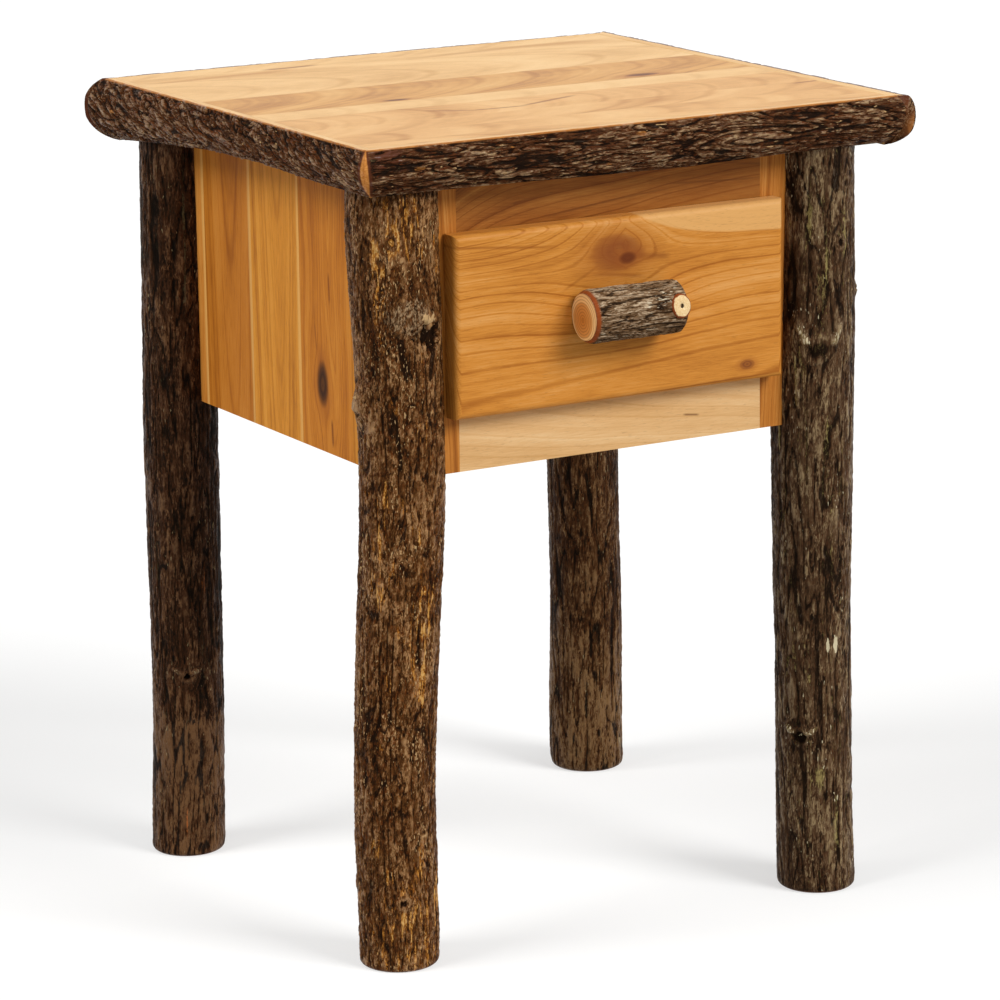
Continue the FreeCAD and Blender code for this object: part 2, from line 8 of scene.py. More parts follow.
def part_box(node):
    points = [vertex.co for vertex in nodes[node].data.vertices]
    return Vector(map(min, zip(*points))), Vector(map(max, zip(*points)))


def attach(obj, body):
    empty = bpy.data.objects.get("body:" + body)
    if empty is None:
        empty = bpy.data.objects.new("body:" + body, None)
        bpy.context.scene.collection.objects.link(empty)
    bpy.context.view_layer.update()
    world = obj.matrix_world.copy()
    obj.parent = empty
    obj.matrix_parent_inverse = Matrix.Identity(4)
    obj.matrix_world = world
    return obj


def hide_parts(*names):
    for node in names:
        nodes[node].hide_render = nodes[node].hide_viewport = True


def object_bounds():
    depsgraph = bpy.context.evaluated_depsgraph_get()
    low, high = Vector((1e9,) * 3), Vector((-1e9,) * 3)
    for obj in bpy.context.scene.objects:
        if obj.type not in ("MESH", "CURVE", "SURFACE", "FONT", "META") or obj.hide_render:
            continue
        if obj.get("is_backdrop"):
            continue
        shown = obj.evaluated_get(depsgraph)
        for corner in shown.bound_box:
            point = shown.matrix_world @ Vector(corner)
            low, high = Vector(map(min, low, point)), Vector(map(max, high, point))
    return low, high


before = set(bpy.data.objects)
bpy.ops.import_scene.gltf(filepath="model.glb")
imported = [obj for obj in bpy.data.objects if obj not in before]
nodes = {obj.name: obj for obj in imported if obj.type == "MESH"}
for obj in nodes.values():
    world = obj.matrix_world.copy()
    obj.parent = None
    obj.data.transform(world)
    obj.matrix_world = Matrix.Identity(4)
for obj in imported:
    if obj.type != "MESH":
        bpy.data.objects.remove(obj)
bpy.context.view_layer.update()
scene = bpy.context.scene
mm = 0.001

# Camera
# A long lens at the left front of the table, a little above its top.
# Place and axes are measured in the table's own frame.
eye = Vector((-1906.24, -3314.24, 1283.99)) * mm
eye_right = Vector((0.86545, -0.50081, -0.01341))
eye_up = Vector((0.13082, 0.20007, 0.97101))
eye_back = Vector((-0.48361, -0.84212, 0.23867))
lens_data = bpy.data.cameras.new("long_lens")
lens_data.sensor_width = 36
lens_data.lens = 156.72
lens_data.clip_end = 100
camera = bpy.data.objects.new("camera", lens_data)
turn = Matrix((eye_right, eye_up, eye_back)).transposed().to_4x4()
camera.matrix_world = Matrix.Translation(eye) @ turn
scene.collection.objects.link(camera)
scene.camera = camera

# Log legs
# Young hickory poles with the bark left on, cut square, the foot's rim eased with a rasp and the
# whole log lacquered. The crown is pinned under the top by a dowel.
leg_grain = 1.35 * mm
leg_foot_easing = 4 * mm
leg_levels = 26
lacquer_index = 1.5


def linear(code):
    """An sRGB hex colour as linear red, green and blue with a full alpha."""
    parts = np.array([int(code[place:place + 2], 16) for place in (0, 2, 4)]) / 255
    wide = np.where(parts <= 0.04045, parts / 12.92, ((parts + 0.055) / 1.055) ** 2.4)
    return tuple(wide) + (1.0,)


def smooth(value, low, high):
    """0 below low, 1 above high, and an even S between them."""
    part = np.clip((value - low) / (high - low), 0, 1)
    return part * part * (3 - 2 * part)


def chance(cell, seed):
    """A repeatable number from 0 to 1 for each whole-number cell: its indices are mixed bit by bit."""
    mixed = (cell.astype(np.int64) * (73856093, 19349663, 83492791)).sum(-1) + seed * 9781
    mixed = ((mixed ^ (mixed >> 15)) * 2246822519) & 0xFFFFFFFF
    mixed = ((mixed ^ (mixed >> 13)) * 3266489917) & 0xFFFFFFFF
    return ((mixed ^ (mixed >> 16)) & 0xFFFFFF) / 0x1000000


def noise(points, seed):
    """Smooth random field, about -1 to 1: every corner of the unit cell round a point has a random
    slope, and the heights of the eight slopes are blended."""
    cell = np.floor(points)
    part = points - cell
    fade = part ** 3 * (part * (part * 6 - 15) + 10)
    total = 0
    for corner in np.ndindex(2, 2, 2):
        slope = np.stack([chance(cell + corner, seed + turn) for turn in (0, 101, 202)], -1) * 2 - 1
        weight = np.prod(np.where(corner, fade, 1 - fade), -1)
        total = total + weight * ((part - corner) * slope).sum(-1)
    return total * 1.7


def plates(points, seed):
    """Cells round one scattered seed per unit cube: for each point, how much nearer its own seed is
    than the next one (0 on a border), and its cell's random number."""
    cell = np.floor(points)
    nearest = np.full(len(points), 9.0)
    second = np.full(len(points), 9.0)
    mark = np.zeros(len(points))
    for step in np.ndindex(3, 3, 3):
        home = cell + step - 1
        spot = home + np.stack([chance(home, seed + turn) for turn in (0, 101, 202)], -1)
        away = np.linalg.norm(points - spot, axis=-1)
        closer = away < nearest
        second = np.where(closer, nearest, np.minimum(second, away))
        mark = np.where(closer, chance(home, seed + 303), mark)
        nearest = np.minimum(nearest, away)
    return second - nearest, mark


def bark(place, seed, style):
    """Bark over points in a frame whose third axis runs along the log. Long furrows lie where a
    stretched, drifting field crosses zero; small plates between them have a height and a tone each;
    grit roughens all. Gives the relief in metres, 0 at its highest, and the colour marks, 0 to 1,
    of which the tone is mostly the relief's own height: dark low down and light high up, partly the
    bark's own colour and partly painted shade in the furrows and painted light on the ridges. The
    furrow mark darkens the furrows further, also partly painted shade."""
    wide, long, deep = style["furrow"]
    stretched = place / (wide, wide, long)
    drift = np.stack([noise(stretched * 0.55, seed + turn) for turn in (1, 2, 3)], -1)
    net = noise(stretched + drift * style["wander"], seed + 4)
    small = noise(stretched * (2.2, 2.2, 2.6) + drift, seed + 5)
    furrow = 1 - smooth(np.abs(net), 0.02, style["furrow_share"])
    crack = 1 - smooth(np.abs(small), 0.0, 0.22)
    inside, tone = plates(place / style["plate"] + drift * 0.5, seed + 6)
    rim = 1 - smooth(inside, 0.0, 0.28)
    chip = plates(place / style["chip"] + drift * 0.8, seed + 7)[1]
    grit = noise(place / style["grit"], seed + 8)
    broad = noise(place / (40 * mm, 40 * mm, 90 * mm), seed + 9)
    thread = noise(stretched * (1.7, 1.7, 0.9) + drift * 0.7, seed + 12)
    relief = -deep * furrow - 0.5 * deep * crack * (1 - furrow)
    relief = relief - style["plate_height"] * ((1 - tone) + 0.8 * rim) * (1 - 0.6 * furrow)
    relief = relief - style["chip_height"] * (1 - chip) + style["grit_height"] * (grit - 1)
    deepest = deep + 1.8 * style["plate_height"] + style["chip_height"] + 2 * style["grit_height"]
    rise = np.clip(1 + relief / deepest, 0, 1)
    # Tone from the relief's height: painted shade low in the furrows and painted light on the ridges,
    # over the bark's own tone.
    tone = 0.1 + 0.7 * rise + 0.2 * (tone - 0.5) + 0.15 * (chip - 0.5) + 0.15 * broad
    marks = {
        "furrow": np.clip(smooth(furrow, 0.5, 1) + 0.3 * crack, 0, 1),
        "tone": np.clip(tone, 0, 1),
        "fleck": np.clip(0.5 + 1.2 * noise(place / (22 * mm, 22 * mm, 40 * mm), seed + 10), 0, 1),
        "stain": 1 - smooth(np.abs(thread), 0.06, 0.3),
        "moss": smooth(noise(stretched * (2.2, 2.2, 1.0), seed + 11) + 0.25 * grit, 0.0, 0.45),
        "worn": np.zeros(len(place)),
        "bare": np.zeros(len(place)),
    }
    marks["fleck"] = marks["fleck"] * style["fleck"]
    return relief, marks


def feed(tree, node, inputs):
    """Sets a node's inputs to values, or joins them to other nodes' outputs."""
    for key, value in inputs.items():
        if isinstance(value, bpy.types.NodeSocket):
            tree.links.new(value, node.inputs[key])
        else:
            node.inputs[key].default_value = value


def add(tree, kind, inputs=(), **settings):
    """Adds one shader node, sets it up, feeds its inputs from values or outputs, and gives its output."""
    node = tree.nodes.new("ShaderNode" + kind)
    for name, value in settings.items():
        setattr(node, name, value)
    feed(tree, node, dict(inputs))
    return next(output for output in node.outputs if output.enabled)


def work(tree, operation, *values, **settings):
    """Arithmetic on up to three values or outputs."""
    return add(tree, "Math", dict(enumerate(values)), operation=operation, **settings)


def scaled(tree, value, *limits, **settings):
    """A value carried from the range of the first two limits to that of the last two, or to 0 and 1."""
    return add(tree, "MapRange", dict(enumerate((value,) + limits)), **settings)


def ramp(tree, value, stops):
    """The colour at a value, between stops that each have a place and a hex code."""
    colour = add(tree, "ValToRGB", {0: value})
    elements = colour.node.color_ramp.elements
    elements[0].position, elements[0].color = stops[0][0], linear(stops[0][1])
    elements[-1].position, elements[-1].color = stops[-1][0], linear(stops[-1][1])
    for place, code in stops[1:-1]:
        elements.new(place).color = linear(code)
    return colour


def laid(tree, share, under, over):
    """A colour laid over another by its share; the upper one is an output or a hex code."""
    over = linear(over) if isinstance(over, str) else over
    return add(tree, "Mix", {0: share, 6: under, 7: over}, data_type="RGBA")


def blank_finish(name):
    """A material with an empty tree, its surface shader and the object's own coordinates."""
    made = bpy.data.materials.new(name)
    made.use_nodes = True
    tree = made.node_tree
    surface = tree.nodes["Principled BSDF"]
    spot = add(tree, "TexCoord").node.outputs["Object"]
    return made, tree, surface, spot


def bark_finish(name, shades, along, stroke):
    """Lacquered hickory bark. Wavy strokes, 1 to 2 mm wide as the view shows them, vary the tone that
    the mesh's relief sets, from dark to light, which is partly the bark's own colour and partly painted
    shade in the furrows and painted light on the ridges. The mesh's marks darken the furrows, also
    partly painted shade, and lay golden inner bark, grey-green lichen, cream flecks, worn bark and
    bare wood over them. The lacquer stands on the ridges, which glint, and has sunk in between them."""
    made, tree, surface, spot = blank_finish(name)
    wide, long = 1 / (stroke[0] * mm), 1 / (stroke[1] * mm)
    share_of = {"x": (long, wide, wide), "y": (wide, long, wide), "z": (wide, wide, long)}[along]
    spread = add(tree, "VectorMath", {0: spot, 1: share_of}, operation="MULTIPLY")
    strokes = add(tree, "TexNoise", {
        "Vector": spread, "Scale": 1, "Detail": 3, "Roughness": 0.62, "Distortion": 0.9})
    patches = add(tree, "TexNoise", {"Vector": spread, "Scale": 0.17, "Detail": 1})
    contrast = scaled(tree, patches, 0.35, 0.62, 0.9, 2.3)
    fine, ragged, tint = add(tree, "SeparateColor", {0: strokes.node.outputs["Color"]}).node.outputs
    speck = add(tree, "TexNoise", {"Vector": spread, "Scale": 1.2, "Detail": 0, "Distortion": 0.4})
    masks = {}
    for mark in ("furrow", "tone", "fleck", "stain", "moss", "worn", "bare"):
        masks[mark] = add(tree, "Attribute", attribute_name=mark).node.outputs["Fac"]
    grain = work(tree, "SUBTRACT", fine, 0.5)
    grain = work(tree, "MULTIPLY", grain, contrast)
    tone = work(tree, "ADD", masks["tone"], grain, use_clamp=True)
    # The tone ramp paints shade low in the relief and light high on it, over the bark's own colours.
    colour = ramp(tree, tone, shades["tones"])
    warm = scaled(tree, tint, 0.5, 0.68, 0, shades["warm_share"])
    colour = laid(tree, warm, colour, shades["warm"])
    ragged = work(tree, "SUBTRACT", ragged, 0.5)
    for mark, torn, low, high in (
            ("furrow", 1.6, 0.4, 0.95), ("moss", 2.6, 0.4, 0.9), ("stain", 1.8, 0.45, 0.85)):
        share = work(tree, "MULTIPLY_ADD", ragged, torn, masks[mark])
        over = ramp(tree, work(tree, "ADD", share, grain), shades[mark])
        share = scaled(tree, share, low, high, 0, 0.9)
        colour = laid(tree, share, colour, over)
    pale = work(tree, "MULTIPLY_ADD", masks["fleck"], 0.5, speck)
    pale = scaled(tree, pale, 0.9, 0.96, 0, 0.9)
    colour = laid(tree, pale, colour, shades["fleck"])
    worn = work(tree, "MULTIPLY_ADD", grain, 0.4, masks["worn"], use_clamp=True)
    worn = work(tree, "MULTIPLY", worn, masks["worn"])
    colour = laid(tree, worn, colour, shades["worn"])
    wood = ramp(tree, fine, shades["bare"])
    colour = laid(tree, masks["bare"], colour, wood)
    dull = work(tree, "MULTIPLY_ADD", masks["furrow"], 0.3, shades["gloss"])
    shine = scaled(tree, tone, 0.55, 0.95, 0.03, shades["shine"])
    smoother = work(tree, "MAXIMUM", masks["bare"], masks["worn"])
    strength = scaled(tree, smoother, 0, 1, 0.9, 0.15)
    bump = add(tree, "Bump", {"Height": fine, "Strength": strength, "Distance": 1.6 * mm})
    feed(tree, surface, {"Base Color": colour, "Roughness": dull, "IOR": lacquer_index,
                         "Specular IOR Level": shine, "Normal": bump})
    return made


def skin(name, rings, poles, marks, finishes, body, stood_for, strips=None):
    """One closed mesh over rings of points (rows, columns, 3): neighbours are joined round and along,
    and each end is closed by a fan to one point. Marks become attributes, strips material numbers."""
    rows, columns, _ = rings.shape
    index = np.arange(rows * columns).reshape(rows, columns)
    beside = np.roll(index, -1, 1)
    quads = np.stack([index[:-1], beside[:-1], beside[1:], index[1:]], -1).reshape(-1, 4)
    first = np.stack([beside[0], index[0], np.full(columns, rows * columns)], -1)
    last = np.stack([index[-1], beside[-1], np.full(columns, rows * columns + 1)], -1)
    points = np.concatenate([rings.reshape(-1, 3), poles])
    mesh = bpy.data.meshes.new(name)
    mesh.from_pydata(points.tolist(), [], quads.tolist() + first.tolist() + last.tolist())
    for mark, values in marks.items():
        ends = [values[:columns].mean(), values[-columns:].mean()]
        layer = mesh.attributes.new(mark, "FLOAT", "POINT")
        layer.data.foreach_set("value", np.append(values, ends).astype(np.float32))
    for finish in finishes:
        mesh.materials.append(finish)
    if strips is not None:
        numbers = np.concatenate([np.tile(strips, rows - 1), np.zeros(2 * columns, int)])
        mesh.polygons.foreach_set("material_index", numbers.astype(np.int32))
    mesh.polygons.foreach_set("use_smooth", np.ones(len(mesh.polygons), bool))
    mesh.update()
    piece = bpy.data.objects.new(name, mesh)
    scene.collection.objects.link(piece)
    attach(piece, body)
    if stood_for:
        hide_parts(stood_for)
    return piece


def log_line(node, levels):
    """Centre and radius of a log at each level, from the foot up: circles fitted by least squares to
    where the CAD mesh's edges cross it, then smoothed in height. Points far from the circle below,
    or from each fit, belong to grooves and knots and are left out."""
    mesh = nodes[node].data
    corners = np.empty(len(mesh.vertices) * 3, np.float32)
    mesh.vertices.foreach_get("co", corners)
    ends = np.empty(len(mesh.edges) * 2, np.int32)
    mesh.edges.foreach_get("vertices", ends)
    low, high = corners.reshape(-1, 3)[ends.reshape(-1, 2)].astype(float).transpose(1, 0, 2)
    fits = []
    x, y, radius = 0, 0, 0
    for level in levels:
        crossing = (low[:, 2] - level) * (high[:, 2] - level) < 0
        share = (level - low[crossing, 2]) / (high[crossing, 2] - low[crossing, 2])
        spots = (low[crossing] + (high[crossing] - low[crossing]) * share[:, None])[:, :2]
        for slack in (3, 1.5, 0.8, 0.5):
            away = np.hypot(spots[:, 0] - x, spots[:, 1] - y)
            near = spots[np.abs(away - radius) < slack * mm] if radius else spots
            sums = np.column_stack([2 * near, np.ones(len(near))])
            x, y, rest = np.linalg.lstsq(sums, (near ** 2).sum(1), rcond=None)[0]
            radius = math.sqrt(rest + x * x + y * y)
        fits.append((x, y, radius))
    return [np.polynomial.Polynomial.fit(levels, values, 6) for values in np.array(fits).T]


def scar(around, height, spot, relief, marks):
    """A healed branch: a swollen patch whose bark flows round it, a hollow where the branch broke off,
    its raised lip painted lighter as a painted highlight, a cream callus beside it and, on some, two
    broad raised folds that run up from it like a V, painted lighter and flecked pale as a painted
    highlight and painted glints. Around and height are in metres."""
    wide, tall = spot["size"]
    away = np.hypot(around / wide, height / tall)
    uneven = 0.8 * (marks["tone"] - 0.5)
    cover = 1 - smooth(away + uneven, 0.6, 1.05)
    relief = relief * (1 - 0.6 * cover) + spot["swell"] * np.exp(-1.4 * away ** 2)
    rings = 0.5 + 0.5 * np.cos(2 * np.pi * (away * spot["rings"] + 3 * uneven))
    relief = relief - 0.8 * mm * rings * cover
    hole_x, hole_z, hole_size = spot["hole"]
    hole = np.hypot(around / wide - hole_x, height / tall - hole_z) + uneven
    lip_painted_highlight = np.exp(-((hole - 1.25 * hole_size) / 0.22) ** 2)
    hole = 1 - smooth(hole, 0.5 * hole_size, hole_size)
    relief = relief + 0.7 * mm * lip_painted_highlight
    # The raised lip is painted lighter round the hollow: a painted highlight.
    marks["tone"] = marks["tone"] + 0.2 * lip_painted_highlight - 0.25 * hole
    relief = relief - spot["hollow"] * hole
    pale_x, pale_z, pale_size = spot["pale"]
    pale = np.hypot(around / wide - pale_x, 1.3 * (height / tall - pale_z)) + 0.5 * uneven
    pale = 1 - smooth(pale, 0.5 * pale_size, pale_size)
    relief = relief + 1.5 * mm * pale
    marks["moss"] = marks["moss"] * (1 - cover) + spot["grey"] * cover * (0.75 - 0.4 * rings)
    marks["fleck"] = marks["fleck"] * (1 - cover) + 1.3 * pale
    marks["stain"] = np.maximum(marks["stain"] * (1 - cover), spot["ember"] * hole)
    marks["furrow"] = np.maximum(marks["furrow"] * (1 - 0.8 * cover), hole * (1 - spot["ember"]) * 1.3)
    fold_wide, fold_tall = spot["fold"]
    if fold_tall:
        reach = np.clip(height / fold_tall, 0, 1)
        away = np.abs(np.abs(around) - fold_wide * (0.4 + 0.6 * reach)) + 4 * mm * uneven
        line = (1 - smooth(away, 1 * mm, 6 * mm)) * smooth(reach, 0, 0.2) * (1 - smooth(reach, 0.5, 1))
        relief = relief + 2.4 * mm * line
        # The folds' grey lichen is their own; their lighter tone and pale flecks are a painted highlight
        # and painted glints on the raised arms.
        marks["tone"] = marks["tone"] + 0.3 * line
        marks["moss"] = np.maximum(marks["moss"], 0.5 * line)
        marks["fleck"] = np.maximum(marks["fleck"], 0.75 * line)
        marks["furrow"] = marks["furrow"] * (1 - line)
    return relief


def wrapped(angle):
    """An angle brought between minus and plus half a turn."""
    return (angle + math.pi) % (2 * math.pi) - math.pi


def bark_leg(node, seed, style, shades, zones, scars, lower):
    """A leg as rings up the height: a disc for the sawn foot, a quarter round for its eased rim, then
    one ring a grain step. The radius is the log's own plus the bark's relief, which fades at the rim.
    The bark's pattern is drawn towards each scar, so it flows round it. A zone has the kind of its
    mark, its height, its bearing in degrees, and how tall and wide it is in millimetres. Lower holds
    the height under which the tone changes, and the change."""
    low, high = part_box(node)
    crown = high.z
    x_line, y_line, girth_line = log_line(node, np.linspace(10 * mm, crown - 6 * mm, leg_levels))
    columns = int(2 * math.pi * girth_line(0.3) / leg_grain)
    easing = np.linspace(0, math.pi / 2, 5)[1:-1]
    heights = np.arange(leg_foot_easing, crown, leg_grain)
    z = np.concatenate([[0, 0], leg_foot_easing * (1 - np.cos(easing)), heights, [crown]])
    rim_inset = leg_foot_easing * (1 - np.sin(easing))
    inset = np.concatenate([[0.5 * girth_line(0), leg_foot_easing], rim_inset])
    inset = np.append(inset, np.zeros(len(z) - len(inset)))
    angle = 2 * math.pi * np.arange(columns) / columns
    z, angle = [grid.ravel() for grid in np.meshgrid(z, angle, indexing="ij")]
    inset = np.repeat(inset, columns)
    girth = girth_line(z)
    drawn_angle, drawn_z = angle.copy(), z.copy()
    local = []
    for spot in scars:
        around = wrapped(angle - math.radians(spot["bearing"])) * girth
        height = z - spot["height"] * mm
        local.append((around, height))
        wide, tall = spot["size"]
        near = np.exp(-0.5 * (around / wide) ** 2 - 0.5 * (height / tall) ** 2)
        drawn_angle = drawn_angle - 0.65 * around / girth * near
        drawn_z = drawn_z - 0.3 * height * near
    place = np.column_stack([girth * np.cos(drawn_angle), girth * np.sin(drawn_angle), drawn_z])
    relief, marks = bark(place, seed, style)
    level = noise(place / (50 * mm, 50 * mm, 130 * mm), seed + 40)
    relief = relief + style["lump"] * level + style["lift"]
    cover = {"stain": 0 * z, "moss": 0 * z + style["moss_share"], "fleck": 0 * z}
    for kind, height, bearing, tall, wide in zones:
        around = wrapped(angle - math.radians(bearing)) * girth
        near = np.exp(-((z - height * mm) / (tall * mm)) ** 2 - (around / (wide * mm)) ** 2)
        cover[kind] = cover[kind] + near
    scattered = smooth(noise(place / (14 * mm, 14 * mm, 45 * mm), seed + 42), 0.25, 0.6)
    golden = np.clip(cover["stain"] + style["stain_share"] * scattered, 0, 0.95)
    marks["stain"] = marks["stain"] * golden
    mossy = cover["moss"]
    marks["moss"] = np.clip(marks["moss"] * mossy + 0.2 * smooth(mossy, 0.5, 1.2), 0, 1)
    marks["furrow"] = marks["furrow"] * (1 - marks["stain"])
    marks["fleck"] = np.maximum(marks["fleck"], 1.5 * smooth(cover["fleck"], 0.3, 0.8))
    for spot, (around, height) in zip(scars, local):
        relief = scar(around, height, spot, relief, marks)
    edge, change = lower
    ragged = z + 9 * mm * noise(place / (9 * mm, 9 * mm, 30 * mm), seed + 41)
    lowered = 1 - smooth(ragged, edge * mm - 4 * mm, edge * mm + 6 * mm)
    marks["tone"] = marks["tone"] + change * lowered
    rim = smooth(z, 0, 2.5 * leg_foot_easing)
    marks["bare"] = 1 - smooth(z + 0.8 * mm * marks["tone"], 0.6 * mm, 1.9 * mm)
    radius = girth - inset + relief * rim
    x, y = x_line(z) + radius * np.cos(angle), y_line(z) + radius * np.sin(angle)
    points = np.column_stack([x, y, z])
    points[:columns, :2] = (points[:columns, :2] + (x_line(0), y_line(0))) / 2
    ends = [(x_line(0), y_line(0), 0), (x_line(crown), y_line(crown), crown)]
    finish = bark_finish(node + "_lacquered_bark", shades, "z", style["stroke"])
    rings = points.reshape(-1, columns, 3)
    name = node.replace("_leg", "_bark_leg")
    return skin(name, rings, ends, marks, [finish], "case", node)


rough_bark = dict(
    furrow=(7 * mm, 50 * mm, 1.4 * mm),
    furrow_share=0.22,
    wander=1.2,
    plate=(4 * mm, 4 * mm, 11 * mm),
    plate_height=0.5 * mm,
    chip=(2.2 * mm, 2.2 * mm, 5 * mm),
    chip_height=0.5 * mm,
    grit=(1.9 * mm, 1.9 * mm, 3 * mm),
    grit_height=0.2 * mm,
    lift=1.3 * mm,
    lean=0.0,
    lump=0.8 * mm,
    fleck=0.45,
    moss_share=0.1,
    stain_share=0.6,
    stroke=(1.4, 4.2),
)
smooth_bark = dict(
    rough_bark,
    furrow=(9 * mm, 80 * mm, 1.1 * mm),
    plate=(5 * mm, 5 * mm, 26 * mm),
    plate_height=0.4 * mm,
    chip=(2.2 * mm, 2.2 * mm, 10 * mm),
    chip_height=0.4 * mm,
    fleck=0.3,
    moss_share=0.3,
    stain_share=0.0,
    stroke=(1.5, 6.5),
)
golden_bark = dict(
    # In every bark's shades the low tones and the furrow colours are partly painted shade, the high tones
    # partly painted light on the ridges.
    tones=((0.1, "140a04"), (0.38, "3c230d"), (0.62, "64401f"), (0.95, "a67c4c")),
    warm="7c3e16",
    warm_share=0.5,
    furrow=((0.2, "2c170a"), (0.8, "160b04")),
    stain=((0.3, "6e340e"), (0.6, "9c5c1e"), (0.9, "c48638"), (1.0, "d8a862")),
    moss=((0.3, "5c4028"), (0.9, "aa8c68")),
    fleck="c4a070",
    worn="3c241c",
    bare=((0.3, "7a3c14"), (0.7, "b06a30")),
    gloss=0.3,
    shine=0.3,
)
grey_bark = dict(
    golden_bark,
    tones=((0.1, "181009"), (0.38, "3e2b1b"), (0.62, "5c442e"), (0.95, "927a54")),
    warm="54301a",
    furrow=((0.2, "24170c"), (0.8, "140b05")),
    moss=((0.3, "463a1e"), (0.9, "968552")),
    fleck="d8caa6",
)
dark_bark = dict(
    golden_bark,
    tones=((0.1, "0c0804"), (0.38, "28180c"), (0.62, "402614"), (0.95, "6e4c2c")),
    warm="44230d",
    furrow=((0.2, "160d06"), (0.8, "0a0603")),
    moss=((0.3, "241c10"), (0.9, "4e432c")),
    fleck="9a8764",
    stain=((0.3, "5a2c10"), (0.9, "b06028")),
    shine=0.15,
)
brown_bark = dict(
    dark_bark,
    tones=((0.1, "140b06"), (0.38, "321d0e"), (0.62, "4e321a"), (0.95, "7e5e3a")),
    warm="50290e",
)
swirl_knot = dict(
    height=574,
    bearing=-97,
    size=(24 * mm, 19 * mm),
    swell=3 * mm,
    rings=3,
    hole=(0.7, -0.95, 0.62),
    hollow=4 * mm,
    grey=1.08,
    ember=0.0,
    fold=(0, 0),
    pale=(0.62, -0.12, 0.34),
)
no_callus = (0, 0, 0.01)
small_scar = dict(
    swirl_knot, size=(6 * mm, 8 * mm), swell=0.8 * mm, hole=(0, 0, 0.5), hollow=1.2 * mm, grey=0.3,
    pale=no_callus,
)
leg_scars = {
    "front_left_leg": [
        swirl_knot,
        dict(swirl_knot, height=496, bearing=172, size=(13 * mm, 15 * mm), swell=6 * mm,
             hole=(0, -0.6, 0.5), pale=(0.1, 0.5, 0.35)),
        dict(small_scar, height=638, bearing=-119, ember=0.9),
        dict(small_scar, height=63, bearing=-109, size=(8 * mm, 9 * mm), swell=1.5 * mm),
    ],
    "front_right_leg": [
        dict(swirl_knot, height=503, bearing=-114, size=(13 * mm, 11 * mm), rings=1.2,
             hole=(0, -0.1, 0.85), hollow=1.6 * mm, grey=0.3, ember=0.2, fold=(24 * mm, 30 * mm),
             pale=no_callus),
        dict(small_scar, height=595, bearing=-82),
        dict(small_scar, height=549, bearing=-30, size=(5 * mm, 6 * mm), swell=3 * mm),
        dict(swirl_knot, height=149, bearing=-145, size=(11 * mm, 8 * mm), swell=2.6 * mm,
             hole=(0, -0.3, 0.6), grey=0.4, fold=(16 * mm, 11 * mm), pale=no_callus),
    ],
    "rear_left_leg": [
        dict(swirl_knot, height=176, bearing=-117, size=(11 * mm, 7 * mm), swell=2 * mm,
             hole=(0, -0.3, 0.5), grey=0.3, fold=(13 * mm, 8 * mm), pale=no_callus),
    ],
    "rear_right_leg": [
        dict(swirl_knot, height=330, bearing=70, size=(11 * mm, 12 * mm), swell=2.6 * mm, grey=0.4),
    ],
}
leg_zones = {
    "front_left_leg": [
        ("stain", 650, -105, 44, 22), ("stain", 600, -138, 62, 8), ("stain", 36, -100, 56, 44),
        ("stain", 300, -85, 70, 16), ("stain", 385, -150, 50, 8), ("stain", 200, 60, 90, 14),
    ],
    "front_right_leg": [
        ("moss", 615, -127, 16, 6), ("moss", 579, -111, 22, 4), ("moss", 470, -146, 34, 5),
        ("moss", 438, -95, 20, 6), ("moss", 610, -74, 26, 3), ("moss", 428, -173, 22, 5),
        ("moss", 200, -128, 10, 5), ("moss", 212, -158, 16, 4), ("moss", 110, -120, 10, 5),
        ("moss", 60, -100, 40, 7), ("fleck", 233, -101, 9, 2), ("fleck", 233, -88, 10, 3),
        ("moss", 300, 40, 60, 9), ("moss", 520, 100, 50, 8),
    ],
    "rear_left_leg": [
        ("moss", 560, -110, 60, 5), ("stain", 35, -118, 18, 2.5), ("stain", 268, -85, 20, 3),
        ("moss", 400, 120, 80, 9),
    ],
    "rear_right_leg": [
        ("moss", 330, -100, 60, 6), ("fleck", 26, -51, 4, 3), ("moss", 480, 60, 60, 8),
    ],
}
leg_plan = {
    "front_left_leg": (rough_bark, golden_bark, (0, 0)),
    "front_right_leg": (smooth_bark, grey_bark, (0, 0)),
    "rear_left_leg": (smooth_bark, dark_bark, (131, 0.3)),
    "rear_right_leg": (smooth_bark, brown_bark, (137, 0.2)),
}
for seed, (node, (style, shades, lower)) in enumerate(leg_plan.items()):
    bark_leg(node, 11 + 60 * seed, style, shades, leg_zones[node], leg_scars[node], lower)

# Top boards
# Eight hickory boards glued edge to edge, sanded flush and sprayed with satin lacquer. Calico
# hickory mixes creamy sapwood with brown heartwood, so the boards differ in tone.
honey = ("ba8246", "dba86a", "e8bc80")
cream = ("c89658", "e4b87c", "f0ca92")
amber = ("a66e34", "d09a58", "e2b472")


def streak(tree, u, v, wander, colour, start, end, width, code, strength):
    """A line of mineral stain or a check in the wood: dark where the distance to a straight run from
    start to end, wandering with the grain, is under its width, and fading at both ends."""
    (u0, v0), (u1, v1) = start, end
    line = scaled(tree, u, u0 * mm, u1 * mm, v0 * mm, v1 * mm, clamp=False)
    line = work(tree, "MULTIPLY_ADD", wander, 4 * width * mm, line)
    away = work(tree, "ABSOLUTE", work(tree, "SUBTRACT", v, line))
    near = scaled(tree, away, 0, width * mm, 1, 0, interpolation_type="SMOOTHSTEP")
    fade = 0.2 * (u1 - u0) * mm
    into = scaled(tree, u, u0 * mm, u0 * mm + fade)
    out = scaled(tree, u, u1 * mm - fade, u1 * mm, 1, 0)
    share = work(tree, "MULTIPLY", near, work(tree, "MULTIPLY", into, out))
    share = work(tree, "MULTIPLY", share, strength)
    return laid(tree, share, colour, code)


